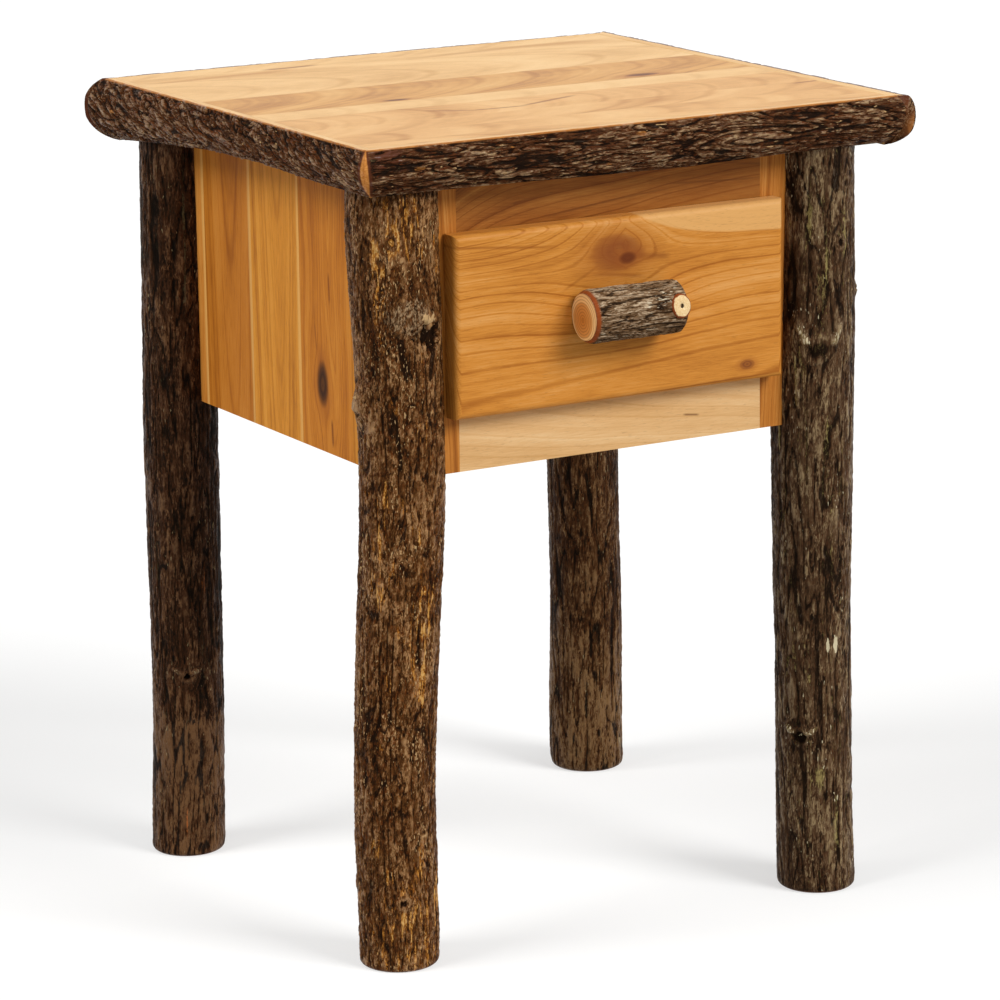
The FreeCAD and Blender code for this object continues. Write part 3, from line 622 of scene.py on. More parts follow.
def patch(tree, u, v, wander, colour, border, width, side, code, strength):
    """Sapwood or a deeper tone to one side of a border that curves away towards one end of the board."""
    place_v, rise, place_u, reach = border
    soft = work(tree, "MULTIPLY_ADD", wander, 5 * mm, v)
    curve = work(tree, "MULTIPLY_ADD", u, -1 / (reach * mm), place_u / reach)
    border = work(tree, "MULTIPLY_ADD", work(tree, "EXPONENT", curve), rise * mm, place_v * mm)
    past = work(tree, "MULTIPLY", work(tree, "SUBTRACT", soft, border), side)
    return laid(tree, scaled(tree, past, 0, width * mm, 0, strength), colour, code)


def knot(tree, cloud, colour, away, code, swirl):
    """A knot's reddish halo and its dark core, which breaks up into ragged whorls."""
    frayed = work(tree, "MULTIPLY_ADD", cloud, 0.7 + 2.4 * swirl, away)
    frayed = work(tree, "SUBTRACT", frayed, 1.2 * swirl)
    halo = scaled(tree, frayed, 1.1, 2.4, 0.5, 0)
    colour = laid(tree, halo, colour, "9a5420")
    whorl = work(tree, "SINE", work(tree, "MULTIPLY", frayed, 11))
    whorl = scaled(tree, whorl, -1, 1, 1 - swirl, 1)
    core = scaled(tree, frayed, 1.0, 1.45, 0.92, 0)
    return laid(tree, work(tree, "MULTIPLY", core, whorl), colour, code)


def apart(tree, first, second):
    """How far a point with these two coordinates lies from zero."""
    both = add(tree, "CombineXYZ", {0: first, 1: second})
    return add(tree, "VectorMath", {0: both}, operation="LENGTH").node.outputs["Value"]


def drawn_in(tree, u, v, bent, place_u, place_v, wide, tall):
    """The growth rings' place, drawn in round a knot, and how far off the knot is, in its half sizes."""
    du = work(tree, "DIVIDE", work(tree, "SUBTRACT", u, place_u * mm), wide * mm / 2)
    dv = work(tree, "DIVIDE", work(tree, "SUBTRACT", v, place_v * mm), tall * mm / 2)
    away = apart(tree, du, dv)
    close = work(tree, "MULTIPLY", work(tree, "POWER", away, 2), -0.12)
    pull = work(tree, "MULTIPLY", dv, work(tree, "EXPONENT", close))
    return work(tree, "MULTIPLY_ADD", pull, -0.42 * tall * mm, bent), away


def humped(tree, u, v, bent, place_u, left_reach, right_reach, height, limits):
    """The growth rings' place, raised in a hump that falls off to both sides along the board and
    comes in between two limits across it."""
    off = work(tree, "SUBTRACT", u, place_u * mm)
    before = work(tree, "MULTIPLY", work(tree, "MINIMUM", off, 0), 1 / (left_reach * mm))
    after = work(tree, "MAXIMUM", off, 0)
    fall = work(tree, "MULTIPLY_ADD", after, -1 / (right_reach * mm), before)
    none, full = limits
    lift = scaled(tree, v, none * mm, full * mm, 0, -height * mm, interpolation_type="SMOOTHSTEP")
    return work(tree, "MULTIPLY_ADD", work(tree, "EXPONENT", fall), lift, bent)


def wood_noise(tree, wood, shares, shift, detail, roughness=0.5, scale=1):
    """Noise over a board's own coordinates, stretched by a share along each."""
    spot = add(tree, "VectorMath", {0: wood, 1: shares, 2: shift}, operation="MULTIPLY_ADD")
    return add(tree, "TexNoise", {
        "Vector": spot, "Scale": scale, "Detail": detail, "Roughness": roughness})


def hickory(name, along, across, deep, seed, tones, ring=3.2, pith=(0, -30), slope=0.05, bend=10,
            knots=(), humps=(), streaks=(), patches=(), contrast=1.0, gloss=0.42, mottle=0.28,
            shine=0.1, lines=0.2):
    """Lacquered hickory for a board whose grain runs along one axis. The board cuts through the
    growth rings of a tapering trunk: ring number is the distance from a pith line, bent by slow noise,
    drawn in round each knot and raised in humps that fall off to both sides. A one-dimensional noise
    of it gives uneven bands, and each whole number a thin broken line of late wood. Over them lie fine
    fibres, short dark pores, broad mottling, patches of sapwood, knots and stain streaks. Sawn ends
    soak up more of the finish and are darker. Ring, bend and places are in millimetres; fibres are
    drawn 0.8 mm wide, as fine as shows."""
    made, tree, surface, spot = blank_finish(name)
    axes = dict(zip("xyz", add(tree, "SeparateXYZ", {0: spot}).node.outputs))
    u, v, w = axes[along], axes[across], axes[deep]
    wood = add(tree, "CombineXYZ", {0: u, 1: v, 2: w})
    shift = (seed * 3.7, seed * 1.3, seed * 5.1)
    wander = wood_noise(tree, wood, (6, 17, 17), shift, 2, 0.45)
    fibre = wood_noise(tree, wood, (55, 1250, 1250), shift, 2)
    pore = scaled(tree, wood_noise(tree, wood, (130, 1500, 1500), shift, 1, scale=1.1), 0.64, 0.72)
    cloud = wood_noise(tree, wood, (9, 30, 30), shift, 3, 0.55)
    wander = work(tree, "SUBTRACT", wander, 0.5)
    bent = work(tree, "MULTIPLY_ADD", wander, 2 * bend * mm, v)
    for hump in humps:
        bent = humped(tree, u, v, bent, *hump)
    knot_shares = []
    for place_u, place_v, wide, tall, code, swirl in knots:
        bent, away = drawn_in(tree, u, v, bent, place_u, place_v, wide, tall)
        knot_shares.append((away, code, swirl))
    aside = work(tree, "SUBTRACT", bent, pith[0] * mm)
    rise = work(tree, "MULTIPLY_ADD", u, slope, w)
    rise = work(tree, "SUBTRACT", rise, pith[1] * mm)
    number = work(tree, "MULTIPLY_ADD", apart(tree, aside, rise), 1 / (ring * mm), seed * 7.0)
    bands = add(tree, "TexNoise", {"W": number, "Scale": 0.5, "Detail": 4, "Roughness": 0.68},
                noise_dimensions="1D")
    level = work(tree, "MULTIPLY_ADD", bands, 1.5 * contrast, 0.5 - 0.75 * contrast)
    level = work(tree, "ADD", level, work(tree, "MULTIPLY_ADD", fibre, 0.5, -0.25))
    late = work(tree, "SINE", work(tree, "MULTIPLY_ADD", number, 2 * math.pi, fibre))
    late = scaled(tree, late, 0.8, 1)
    broken = scaled(tree, fibre, 0.35, 0.6, 0.1, lines)
    late = work(tree, "MULTIPLY", late, broken)
    level = work(tree, "SUBTRACT", level, late)
    drift = work(tree, "MULTIPLY_ADD", cloud, 2 * mottle, -mottle)
    level = work(tree, "ADD", level, drift, use_clamp=True)
    colour = ramp(tree, level, ((0.12, tones[0]), (0.5, tones[1]), (0.88, tones[2])))
    for sap in patches:
        colour = patch(tree, u, v, wander, colour, *sap)
    for stain in streaks:
        colour = streak(tree, u, v, wander, colour, *stain)
    for shown in knot_shares:
        colour = knot(tree, cloud, colour, *shown)
    dark = laid(tree, 0.4, colour, "3a1e0c")
    colour = laid(tree, work(tree, "MULTIPLY", pore, 0.5), colour, dark)
    facing = add(tree, "TexCoord").node.outputs["Normal"]
    facing = add(tree, "SeparateXYZ", {0: facing}).node.outputs
    sawn = work(tree, "ABSOLUTE", facing["xyz".index(along)])
    sawn = scaled(tree, sawn, 0.5, 0.95, 0, 0.35)
    colour = laid(tree, sawn, colour, dark)
    satin = scaled(tree, fibre, 0, 1, gloss - 0.05, gloss + 0.09)
    relief = work(tree, "MULTIPLY_ADD", pore, -0.6, fibre)
    bump = add(tree, "Bump", {"Height": relief, "Strength": 0.35, "Distance": 0.12 * mm})
    feed(tree, surface, {"Base Color": colour, "Roughness": satin, "IOR": lacquer_index,
                         "Specular IOR Level": shine, "Normal": bump})
    return made


def dress(node, finish):
    """Gives a CAD node its finish."""
    mesh = nodes[node].data
    mesh.materials.clear()
    mesh.materials.append(finish)


top_stain = "93592a"
top_figure = dict(slope=0.025, bend=5, ring=2.2, contrast=0.85, lines=0.18, mottle=0.32, shine=0.12)
top_plan = [
    (honey, dict(pith=(-260, -18), streaks=[((-220, -229), (-195, -229), 2, top_stain, 0.5)])),
    (honey, dict(pith=(-190, -40))),
    (honey, dict(pith=(-120, -60), streaks=[((225, -133), (256, -130), 4, top_stain, 0.9)])),
    (honey, dict(pith=(-95, -22), slope=0.04, streaks=[
        ((-122, -86), (-84, -104), 6, top_stain, 0.6), ((-92, -104), (-30, -107), 3.6, top_stain, 0.8),
        ((-40, -106), (36, -78), 4.5, top_stain, 0.85)])),
    (cream, dict(pith=(-40, -70), contrast=0.5)),
    (amber, dict(pith=(60, -30), slope=0.04, bend=9, knots=[
        (-110, -15, 27, 9, "5a3014", 0.2), (146, -8, 38, 14, "5a3014", 0.2)])),
    (cream, dict(pith=(120, -90), contrast=0.6, streaks=[
        ((-258, 200), (-90, 212), 13, "bf8648", 0.75), ((-125, 218), (-64, 216), 5, top_stain, 0.85),
        ((15, 203), (252, 213), 12, "c08a4c", 0.7)])),
    (cream, dict(pith=(260, -60), contrast=0.5)),
]
for number, (tones, figure) in enumerate(top_plan, 1):
    name = f"lacquered_hickory_top_{number}"
    wood = hickory(name, "x", "y", "z", number, tones, **dict(top_figure, **figure))
    dress(f"top_board_{number}", wood)

# Half-log edging
# Bark-on logs sawn flat on the inside, planed flush with the boards and mitred at the corners. The
# ridge of each mitre is sanded round, which bares a strip of wood between two bands of inner bark.
# A dark rim of bark stands beside the planed flat.
edging_grain = 0.78 * mm
flat_rims = {"front": 1.3 * mm, "right": 4 * mm, "rear": 4.5 * mm, "left": 1.3 * mm}
flat_widths = {"front": 8.5 * mm, "right": 15.8 * mm, "rear": 11 * mm, "left": 8 * mm}
log_radius = 28 * mm
arc_length = 2.3 * log_radius
log_drop = 22.5 * mm
corner_radius_shares = {"front_left": 0.93, "front_right": 0.95, "rear_right": 0.98, "rear_left": 1.10}
corner_drop_shares = {"front_left": 0.756, "front_right": 0.78, "rear_right": 0.89, "rear_left": 1.15}
girth_stations = (0, 0.2, 0.4, 0.6, 0.8, 1)
girth_shares = {
    "front": (1, 0.995, 1.045, 1.07, 1.01, 1),
    "right": (1, 0.97, 0.93, 0.95, 1, 1),
    "rear": (1, 0.97, 0.94, 0.98, 1.03, 1),
    "left": (1, 0.89, 0.80, 0.81, 0.93, 1),
}
ridge_rounds = {
    "front_left": (6 * mm, 14 * mm), "front_right": (3 * mm, 5.5 * mm),
    "rear_right": (4 * mm, 8 * mm), "rear_left": (3 * mm, 5.5 * mm),
}
sanded_depths = {
    "front_left": (0.2 * mm, 1.4 * mm, 2.2 * mm), "front_right": (1.5 * mm, 1.95 * mm, 2.12 * mm),
    "rear_right": (0.8 * mm, 1.8 * mm, 2.6 * mm), "rear_left": (1.4 * mm, 2.2 * mm, 3 * mm),
}
panel_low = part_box("top_board_1")[0]
panel_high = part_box("top_board_8")[1]
panel_corners = {
    "front_left": np.array((panel_low.x, panel_low.y)),
    "front_right": np.array((panel_high.x, panel_low.y)),
    "rear_right": np.array((panel_high.x, panel_high.y)),
    "rear_left": np.array((panel_low.x, panel_high.y)),
}
edging_boxes = np.array([
    [list(corner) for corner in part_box(side + "_log_edging")] for side in flat_widths])
edging_low, edging_high = edging_boxes[:, 0].min(0), edging_boxes[:, 1].max(0)
edging_runs = {
    "front": ("front_left", "front_right", (0, -1)),
    "right": ("front_right", "rear_right", (1, 0)),
    "rear": ("rear_right", "rear_left", (0, 1)),
    "left": ("rear_left", "front_left", (-1, 0)),
}


def ridge_rounded(rounds, girdle, out, out_cut, beyond):
    """Points that lie beyond a mitre are brought back onto the quarter round of its ridge, whose
    radius grows from the top to the log's belly. Gives where they come to lie outwards and beyond
    the mitre, and how deep the round cuts the smooth log there."""
    top_round, belly_round = rounds
    ridge = top_round + (belly_round - top_round) * girdle
    hub = out - ridge
    aside = beyond - hub
    reach = np.hypot(np.maximum(aside, 0), out - hub)
    cut = np.where(aside > 0, reach - ridge, 0)
    reach_cut = np.hypot(np.maximum(aside, 0), np.maximum(out_cut - hub, 0))
    pull = np.where((aside > 0) & (reach_cut > ridge), ridge / np.maximum(reach_cut, 1e-9), 1)
    return hub + (out_cut - hub) * pull, np.where(aside > 0, hub + aside * pull, beyond), cut


def edging(side, seed, style, shades, flat_finish, worn, orange, rim):
    """A half log along one side of the panel: a closed profile of sawn face, planed flat and bark arc
    carried from mitre to mitre. The arc's radius and centre change along the log. Towards each end a
    point moves onto a quarter round of the two logs' ridge, and how deep it is cut bares the wood.
    Worn places have a share of the length and a reach, orange ones also a share of the way round.
    Rim tells how far the bark beside the flat shows bare wood."""
    first, last, outward = edging_runs[side]
    start, end = panel_corners[first], panel_corners[last]
    length = np.linalg.norm(end - start)
    along = (end - start) / length
    flat = flat_widths[side]
    arc_columns = int(arc_length / edging_grain)
    rows = int((length + 2 * flat) / edging_grain) + 2
    share, column = np.meshgrid(np.linspace(0, 1, rows), np.arange(arc_columns), indexing="ij")
    girth = np.interp(share, girth_stations, girth_shares[side])
    radius = corner_radius_shares[first] * (1 - share) + corner_radius_shares[last] * share
    radius = log_radius * girth * radius
    drop = corner_drop_shares[first] * (1 - share) + corner_drop_shares[last] * share
    drop = log_drop * girth * drop
    centre_out = flat - np.sqrt(radius ** 2 - drop ** 2)
    top_angle = np.arccos((flat - centre_out) / radius)
    low_angle = -math.pi / 2 - np.arcsin(centre_out / radius)
    part = column / (arc_columns - 1)
    bearing = top_angle * (1 - part) + low_angle * part
    out = centre_out + radius * np.cos(bearing)
    height = panel_high.z - drop + radius * np.sin(bearing)
    travel = -out + share * (length + 2 * out)
    sheared = height + style["lean"] * travel
    place = np.column_stack([out.ravel(), sheared.ravel(), travel.ravel()])
    relief, marks = bark(place, seed, style)
    lump = noise(place / (45 * mm, 45 * mm, 70 * mm), seed + 40).reshape(share.shape)
    relief = relief.reshape(share.shape) + style["lump"] * (lump - 0.8) + style["lift"]
    girdle = np.sin(math.pi * np.clip(part * 1.05, 0, 1))
    for mark in marks:
        marks[mark] = marks[mark].reshape(share.shape)
    rub = np.zeros(share.shape)
    for station, reach in worn:
        off = np.abs(travel / length - station) * length
        rub = np.maximum(rub, 1 - smooth(off, 0.4 * reach, reach))
    rub = rub * smooth(0.62 - part, 0, 0.3) * smooth(marks["tone"], 0.25, 0.5)
    from_mitre = np.minimum(travel + out, length + out - travel)
    relief = relief * (1 - 0.8 * rub) * (0.12 + 0.88 * smooth(from_mitre, 2 * mm, 14 * mm))
    relief = relief * (0.35 + 0.65 * smooth(part, 0, 0.07)) * smooth(1 - part, 0, 0.05)
    marks["worn"] = rub
    out_cut = out + relief * np.cos(bearing)
    height_cut = np.minimum(height + relief * np.sin(bearing), panel_high.z)
    out_cut, beyond, start_cut = ridge_rounded(ridge_rounds[first], girdle, out, out_cut, -travel)
    travel = -beyond
    out_cut, beyond, end_cut = ridge_rounded(ridge_rounds[last], girdle, out, out_cut, travel - length)
    travel = beyond + length
    cut = np.maximum(np.maximum(start_cut, end_cut), 0)
    ragged = cut + 0.4 * mm * lump
    start_depths = np.array(sanded_depths[first])[:, None, None]
    end_depths = np.array(sanded_depths[last])[:, None, None]
    rubbed, thinned, bared = np.where(share < 0.5, start_depths, end_depths)
    marks["bare"] = smooth(ragged, bared - 0.4 * mm, bared + 0.4 * mm)
    marks["worn"] = np.maximum(marks["worn"], smooth(ragged, rubbed, thinned))
    cambium = 1 - smooth(part, 0.008, 0.03)
    marks["worn"] = np.maximum(marks["worn"], cambium * (1 - marks["bare"]))
    marks["bare"] = np.maximum(marks["bare"], rim * cambium)
    spots = np.zeros(share.shape)
    for station, around, reach in orange:
        away = np.hypot(travel - station * length, 2 * (part - around) * arc_length) / reach
        spots = np.maximum(spots, 0.7 * (1 - smooth(away, 0.5, 1.1)))
    marks["stain"] = marks["stain"] * style["stain_share"] + spots
    marks["moss"] = marks["moss"] * style["moss_share"]
    for mark in ("furrow", "fleck", "stain", "moss"):
        marks[mark] = marks[mark] * (1 - marks["worn"]) * (1 - marks["bare"])

    flat_shares = np.linspace(0, 1 - flat_rims[side] / flat, 5)
    sawn_shares = np.array((0, 0.5))
    ends = out[:, :1] * 0
    flat_out = flat_shares * out_cut[:, :1]
    flat_travel = -flat_out + share[:, :1] * (length + 2 * flat_out)
    low = height_cut[:, -1:]
    sawn_height = low + (panel_high.z - low) * sawn_shares
    sawn_travel = share[:, :1] * length + 0 * sawn_shares
    all_out = np.hstack([ends + 0 * sawn_shares, flat_out, out_cut])
    all_height = np.hstack([sawn_height, 0 * flat_out + panel_high.z, height_cut])
    all_travel = np.hstack([sawn_travel, flat_travel, travel])
    all_out[:, -1] = 0
    plan = start + all_travel[..., None] * along + all_out[..., None] * np.array(outward)
    rings = np.concatenate([plan, all_height[..., None]], -1)
    rings = np.clip(rings, edging_low, edging_high)
    spare = all_out.shape[1] - arc_columns
    for mark in marks:
        marks[mark] = np.hstack([np.repeat(marks[mark][:, :1], spare, 1), marks[mark]]).ravel()
    columns = all_out.shape[1]
    strips = np.full(columns, 1)
    strips[spare - 1:] = 0
    poles = [rings[0].mean(0), rings[-1].mean(0)]
    axis = "x" if side in ("front", "rear") else "y"
    finish = bark_finish(side + "_edging_lacquered_bark", shades, axis, style["stroke"])
    finishes = [finish, flat_finish]
    name = side + "_bark_edging"
    stood_for = side + "_log_edging"
    return skin(name, rings, poles, marks, finishes, "case", stood_for, strips)


long_bark = dict(
    rough_bark,
    furrow=(6 * mm, 46 * mm, 2.1 * mm),
    furrow_share=0.34,
    wander=1.7,
    plate=(4 * mm, 4 * mm, 17 * mm),
    plate_height=0.7 * mm,
    chip=(2.2 * mm, 2.2 * mm, 6 * mm),
    chip_height=0.5 * mm,
    lift=2 * mm,
    fleck=0.3,
    stain_share=0.12,
    moss_share=0.12,
    lump=0.9 * mm,
    stroke=(1.9, 8.5),
)
pebbled_bark = dict(
    rough_bark,
    furrow=(8 * mm, 38 * mm, 2.6 * mm),
    furrow_share=0.32,
    wander=1.7,
    lean=0.45,
    plate=(5.4 * mm, 5.4 * mm, 24 * mm),
    plate_height=1.1 * mm,
    chip=(2.6 * mm, 2.6 * mm, 9 * mm),
    chip_height=0.6 * mm,
    lift=2.3 * mm,
    fleck=0.3,
    stain_share=0.15,
    moss_share=0.1,
    stroke=(2.2, 9),
)
edging_bark = dict(
    golden_bark,
    tones=((0.1, "180c05"), (0.38, "402411"), (0.62, "5c3b22"), (0.95, "9a7a50")),
    warm="6c3210",
    worn="552d1c",
    furrow=((0.2, "24150a"), (0.8, "120a05")),
    stain=((0.3, "5a2e12"), (0.9, "b4783c")),
    moss=((0.3, "3f3520"), (0.9, "8c7c58")),
    bare=((0.3, "b06a2c"), (0.7, "d8944e")),
    shine=0.4,
)
speckled_bark = dict(
    edging_bark,
    tones=((0.1, "150a04"), (0.38, "38200d"), (0.62, "543115"), (0.95, "8e6c42")),
    warm="84400f",
)
edging_plan = {
    "front": (long_bark, edging_bark, [(0.02, 20 * mm)], [
        (0.078, 0.42, 7 * mm), (0.25, 0.2, 3 * mm), (0.435, 0.7, 4 * mm), (0.496, 0.2, 8 * mm)], 0.7),
    "right": (long_bark, edging_bark, [], [(0.3, 0.3, 9 * mm)], 0.0),
    "rear": (long_bark, edging_bark, [], [(0.6, 0.3, 9 * mm)], 0.0),
    "left": (pebbled_bark, speckled_bark, [], [(0.06, 0.45, 5 * mm)], 0.7),
}
for seed, (side, (style, shades, worn, orange, rim)) in enumerate(edging_plan.items()):
    run, cross = ("x", "y") if side in ("front", "rear") else ("y", "x")
    flat_wood = hickory(side + "_edging_planed_hickory", run, cross, "z", 30 + seed, cream,
                        contrast=0.5, shine=0.12)
    edging(side, 300 + 60 * seed, style, shades, flat_wood, worn, orange, rim)

# Case sides and back
# Vertical hickory boards glued edge to edge, which differ in tone; the three rear ones have a strip
# of pale sapwood along the front edge. The back is one panel of hickory plywood.
side_tones = {
    1: ("9c561c", "d08638", "e2a054"),
    2: ("8c4a13", "be7426", "d08a3c"),
    3: ("9d5918", "d38a30", "e8a54a"),
    4: ("924c12", "c47826", "d8903a"),
    5: ("925014", "c47c28", "d8953e"),
}
side_knot = (490, -74, 38, 20, "1e0d06", 0.14)
side_streaks = [
    ((562, -91), (592, -89), 2.4, "7a3c14", 0.8), ((518, -65), (545, -62), 2, "7a3c14", 0.6),
    ((438, -92), (464, -91), 2.6, "6a3010", 0.8),
]
for side in ("left", "right"):
    for number, tones in side_tones.items():
        node = f"{side}_side_board_{number}"
        low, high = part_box(node)
        front_edge = low.y / mm
        figure = dict(pith=(front_edge + 40, -60 - 30 * number), slope=0.015, ring=2.2, bend=3,
                      mottle=0.25, contrast=0.6, lines=0.14, shine=0.04)
        if number <= 3:
            figure["patches"] = [((front_edge + 6, 0, 0, 1), 3, -1, "e8b266", 0.7)]
        if side == "left" and number == 4:
            figure.update(bend=14, slope=0.06, ring=4, knots=[side_knot], streaks=side_streaks)
        dress(node, hickory("lacquered_hickory_" + node, "z", "y", "x", 40 + number, tones, **figure))
back_tones = ("94581f", "b97c38", "cf9650")
dress("back_panel", hickory("hickory_plywood_back", "z", "x", "y", 61, back_tones,
                            ring=6, bend=22, slope=0.12))

# Face frame
# Two stiles and two rails of hickory, butted flush. The bottom rail is all pale sapwood; the top
# rail has a flame figure at its left end and fine dark checks to the right, and its tones are
# darkened as painted shade for the shadow under the top's overhang.
frame_tones = ("93541c", "b9742e", "cd8e48")
# Painted shade: the top rail's tones are darker than its wood to stand for the overhang's shadow.
rail_tones_painted_shade = ("743e14", "9c6027", "bc803c")
pale_tones = ("c8975c", "dcaf78", "eac694")
for seed, node in enumerate(("left_stile", "right_stile"), 71):
    dress(node, hickory("lacquered_hickory_" + node, "z", "x", "y", seed, frame_tones, bend=4, ring=2.4))
check = "5a3014"
top_rail_streaks = [
    ((-80, 641), (60, 656), 1.6, check, 0.4), ((40, 659), (150, 655), 1.6, check, 0.4),
    ((85, 674), (160, 665), 1.8, check, 0.35),
]
dress("top_rail", hickory(
    "lacquered_hickory_top_rail_painted_shade", "x", "z", "y", 73, rail_tones_painted_shade,
    pith=(590, -30), ring=3, bend=8, slope=0.03, contrast=0.7, lines=0.26, streaks=top_rail_streaks,
    humps=[(-200, 10, 48, -62, (500, 520))], patches=[((694, -60, -30, 80), 60, -1, "7c4418", 0.55)]))
dress("bottom_rail", hickory(
    "lacquered_hickory_bottom_rail", "x", "z", "y", 74, pale_tones,
    pith=(500, -80), bend=6, contrast=0.5, mottle=0.2, streaks=[((62, 455), (80, 453), 1.6, check, 0.7)]))

# Drawer front
# One wide hickory board laid over the frame, its front edges rounded over. The grain swirls round a
# knot above the pull; the upper right corner is pale sapwood with a sharp edge.
front_tones = ("a05c1c", "cc8636", "dfa25c")
front_streaks = [
    ((-190, 628), (-70, 618), 2.0, "83400f", 0.5), ((-70, 580), (-30, 600), 2.4, "83400f", 0.35),
    ((0, 603), (40, 600), 4.2, "6e3210", 0.45), ((-40, 592), (14, 584), 3.0, "7a3a12", 0.45),
]
front_knots = [
    (-13, 608, 50, 36, "8a4a20", 0.22), (-4, 602, 18, 11, "662f12", 0.08),
    (117, 496, 12, 7, "7c4420", 0.4),
]
dress("drawer_front", hickory(
    "lacquered_hickory_drawer_front", "x", "z", "y", 81, front_tones,
    pith=(482, -62), ring=4, bend=7, slope=0.012, lines=0.34, contrast=0.6, mottle=0.32,
    humps=[(-6, 34, 46, 27, (556, 618))], streaks=front_streaks, knots=front_knots,
    patches=[((609, 28, 7.8, 45), 2, 1, "e2ae6c", 0.75)]))

# Log pull
# A short length of bark-on hickory branch, planed flat behind, its ends bevelled through the bark to
# show the growth rings; near the right end a side twig was cut flush. Two screws hold it.
pull_low, pull_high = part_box("log_pull")
pull_radius = 23 * mm
pull_planed = 3 * mm
pull_bevel = (4.6 * mm, 3 * mm)
pull_right_bevel = 2.2 * mm
pull_screw_head_radius = 4 * mm
pull_axis_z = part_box("pull_screws")[0].z + pull_screw_head_radius
pull_axis_y = pull_high.y - pull_radius + pull_planed
pull_grain = 0.8 * mm
twig_radius = 9.5 * mm
twig_oval = 1.12
twig_x = pull_high.x - 8.6 * mm
twig_tilt = math.radians(11)
twig_cap = 24.1 * mm
twig_face = 8.1
twig_pith = 1.7
twig_profile = (
    (0.6, -2.6), (1.3, -2.4), (1.6, -0.4), (1.8, 0), (4, 0), (7.9, 0), (8.2, -0.12), (8.8, -0.5),
    (9.3, -1.4), (9.5, -4), (9.5, -9), (5, -9),
)
end_ring = 2.6 * mm
end_tones = (
    (0.0, "9a5520"), (0.16, "cc8238"), (0.55, "d8924a"), (0.78, "dc9c55"), (0.86, "f4c684"),
    (1.0, "f6cc8e"),
)


def end_grain(name, along, centre, radius, seed):
    """Sawn and sanded end of a small log: rings round the pith, a brown heart and a pale ring of
    sapwood. Centre holds the pith's two places across the log's axis, in metres."""
    made, tree, surface, spot = blank_finish(name)
    axes = dict(zip("xyz", add(tree, "SeparateXYZ", {0: spot}).node.outputs))
    first, second = [axes[axis] for axis in "xyz" if axis != along]
    du = work(tree, "SUBTRACT", first, centre[0])
    dv = work(tree, "SUBTRACT", second, centre[1])
    flat = add(tree, "CombineXYZ", {0: du, 1: dv, 2: seed})
    wobble = add(tree, "TexNoise", {"Vector": flat, "Scale": 60, "Detail": 2})
    away = work(tree, "MULTIPLY_ADD", wobble, 0.14 * radius, apart(tree, du, dv))
    colour = ramp(tree, work(tree, "MULTIPLY", away, 1 / radius), end_tones)
    rings = work(tree, "SINE", work(tree, "MULTIPLY", away, 2 * math.pi / end_ring))
    rings = scaled(tree, rings, 0.1, 1, 0, 0.5)
    colour = laid(tree, rings, colour, "8a4a1c")
    bump = add(tree, "Bump", {"Height": rings, "Strength": 0.3, "Distance": 0.1 * mm})
    feed(tree, surface, {"Base Color": colour, "Roughness": 0.38, "IOR": lacquer_index, "Normal": bump})
    return made


branch_bark = dict(
    rough_bark,
    furrow=(5 * mm, 38 * mm, 0.9 * mm),
    plate=(3 * mm, 3 * mm, 14 * mm),
    plate_height=0.35 * mm,
    chip=(1.8 * mm, 1.8 * mm, 6 * mm),
    chip_height=0.3 * mm,
    grit_height=0.15 * mm,
    fleck=0.42,
    stroke=(1.3, 7),
)
branch_shades = dict(
    golden_bark,
    tones=((0.1, "241609"), (0.36, "563e27"), (0.62, "84684b"), (0.92, "c4ab8b")),
    warm="6e4a2c",
    worn="94481f",
    fleck="dccdb0",
    stain=((0.3, "6a3c18"), (0.9, "a87838")),
    moss=((0.3, "5c4638"), (0.9, "a8907c")),
    furrow=((0.2, "3a2614"), (0.8, "1e1208")),
)


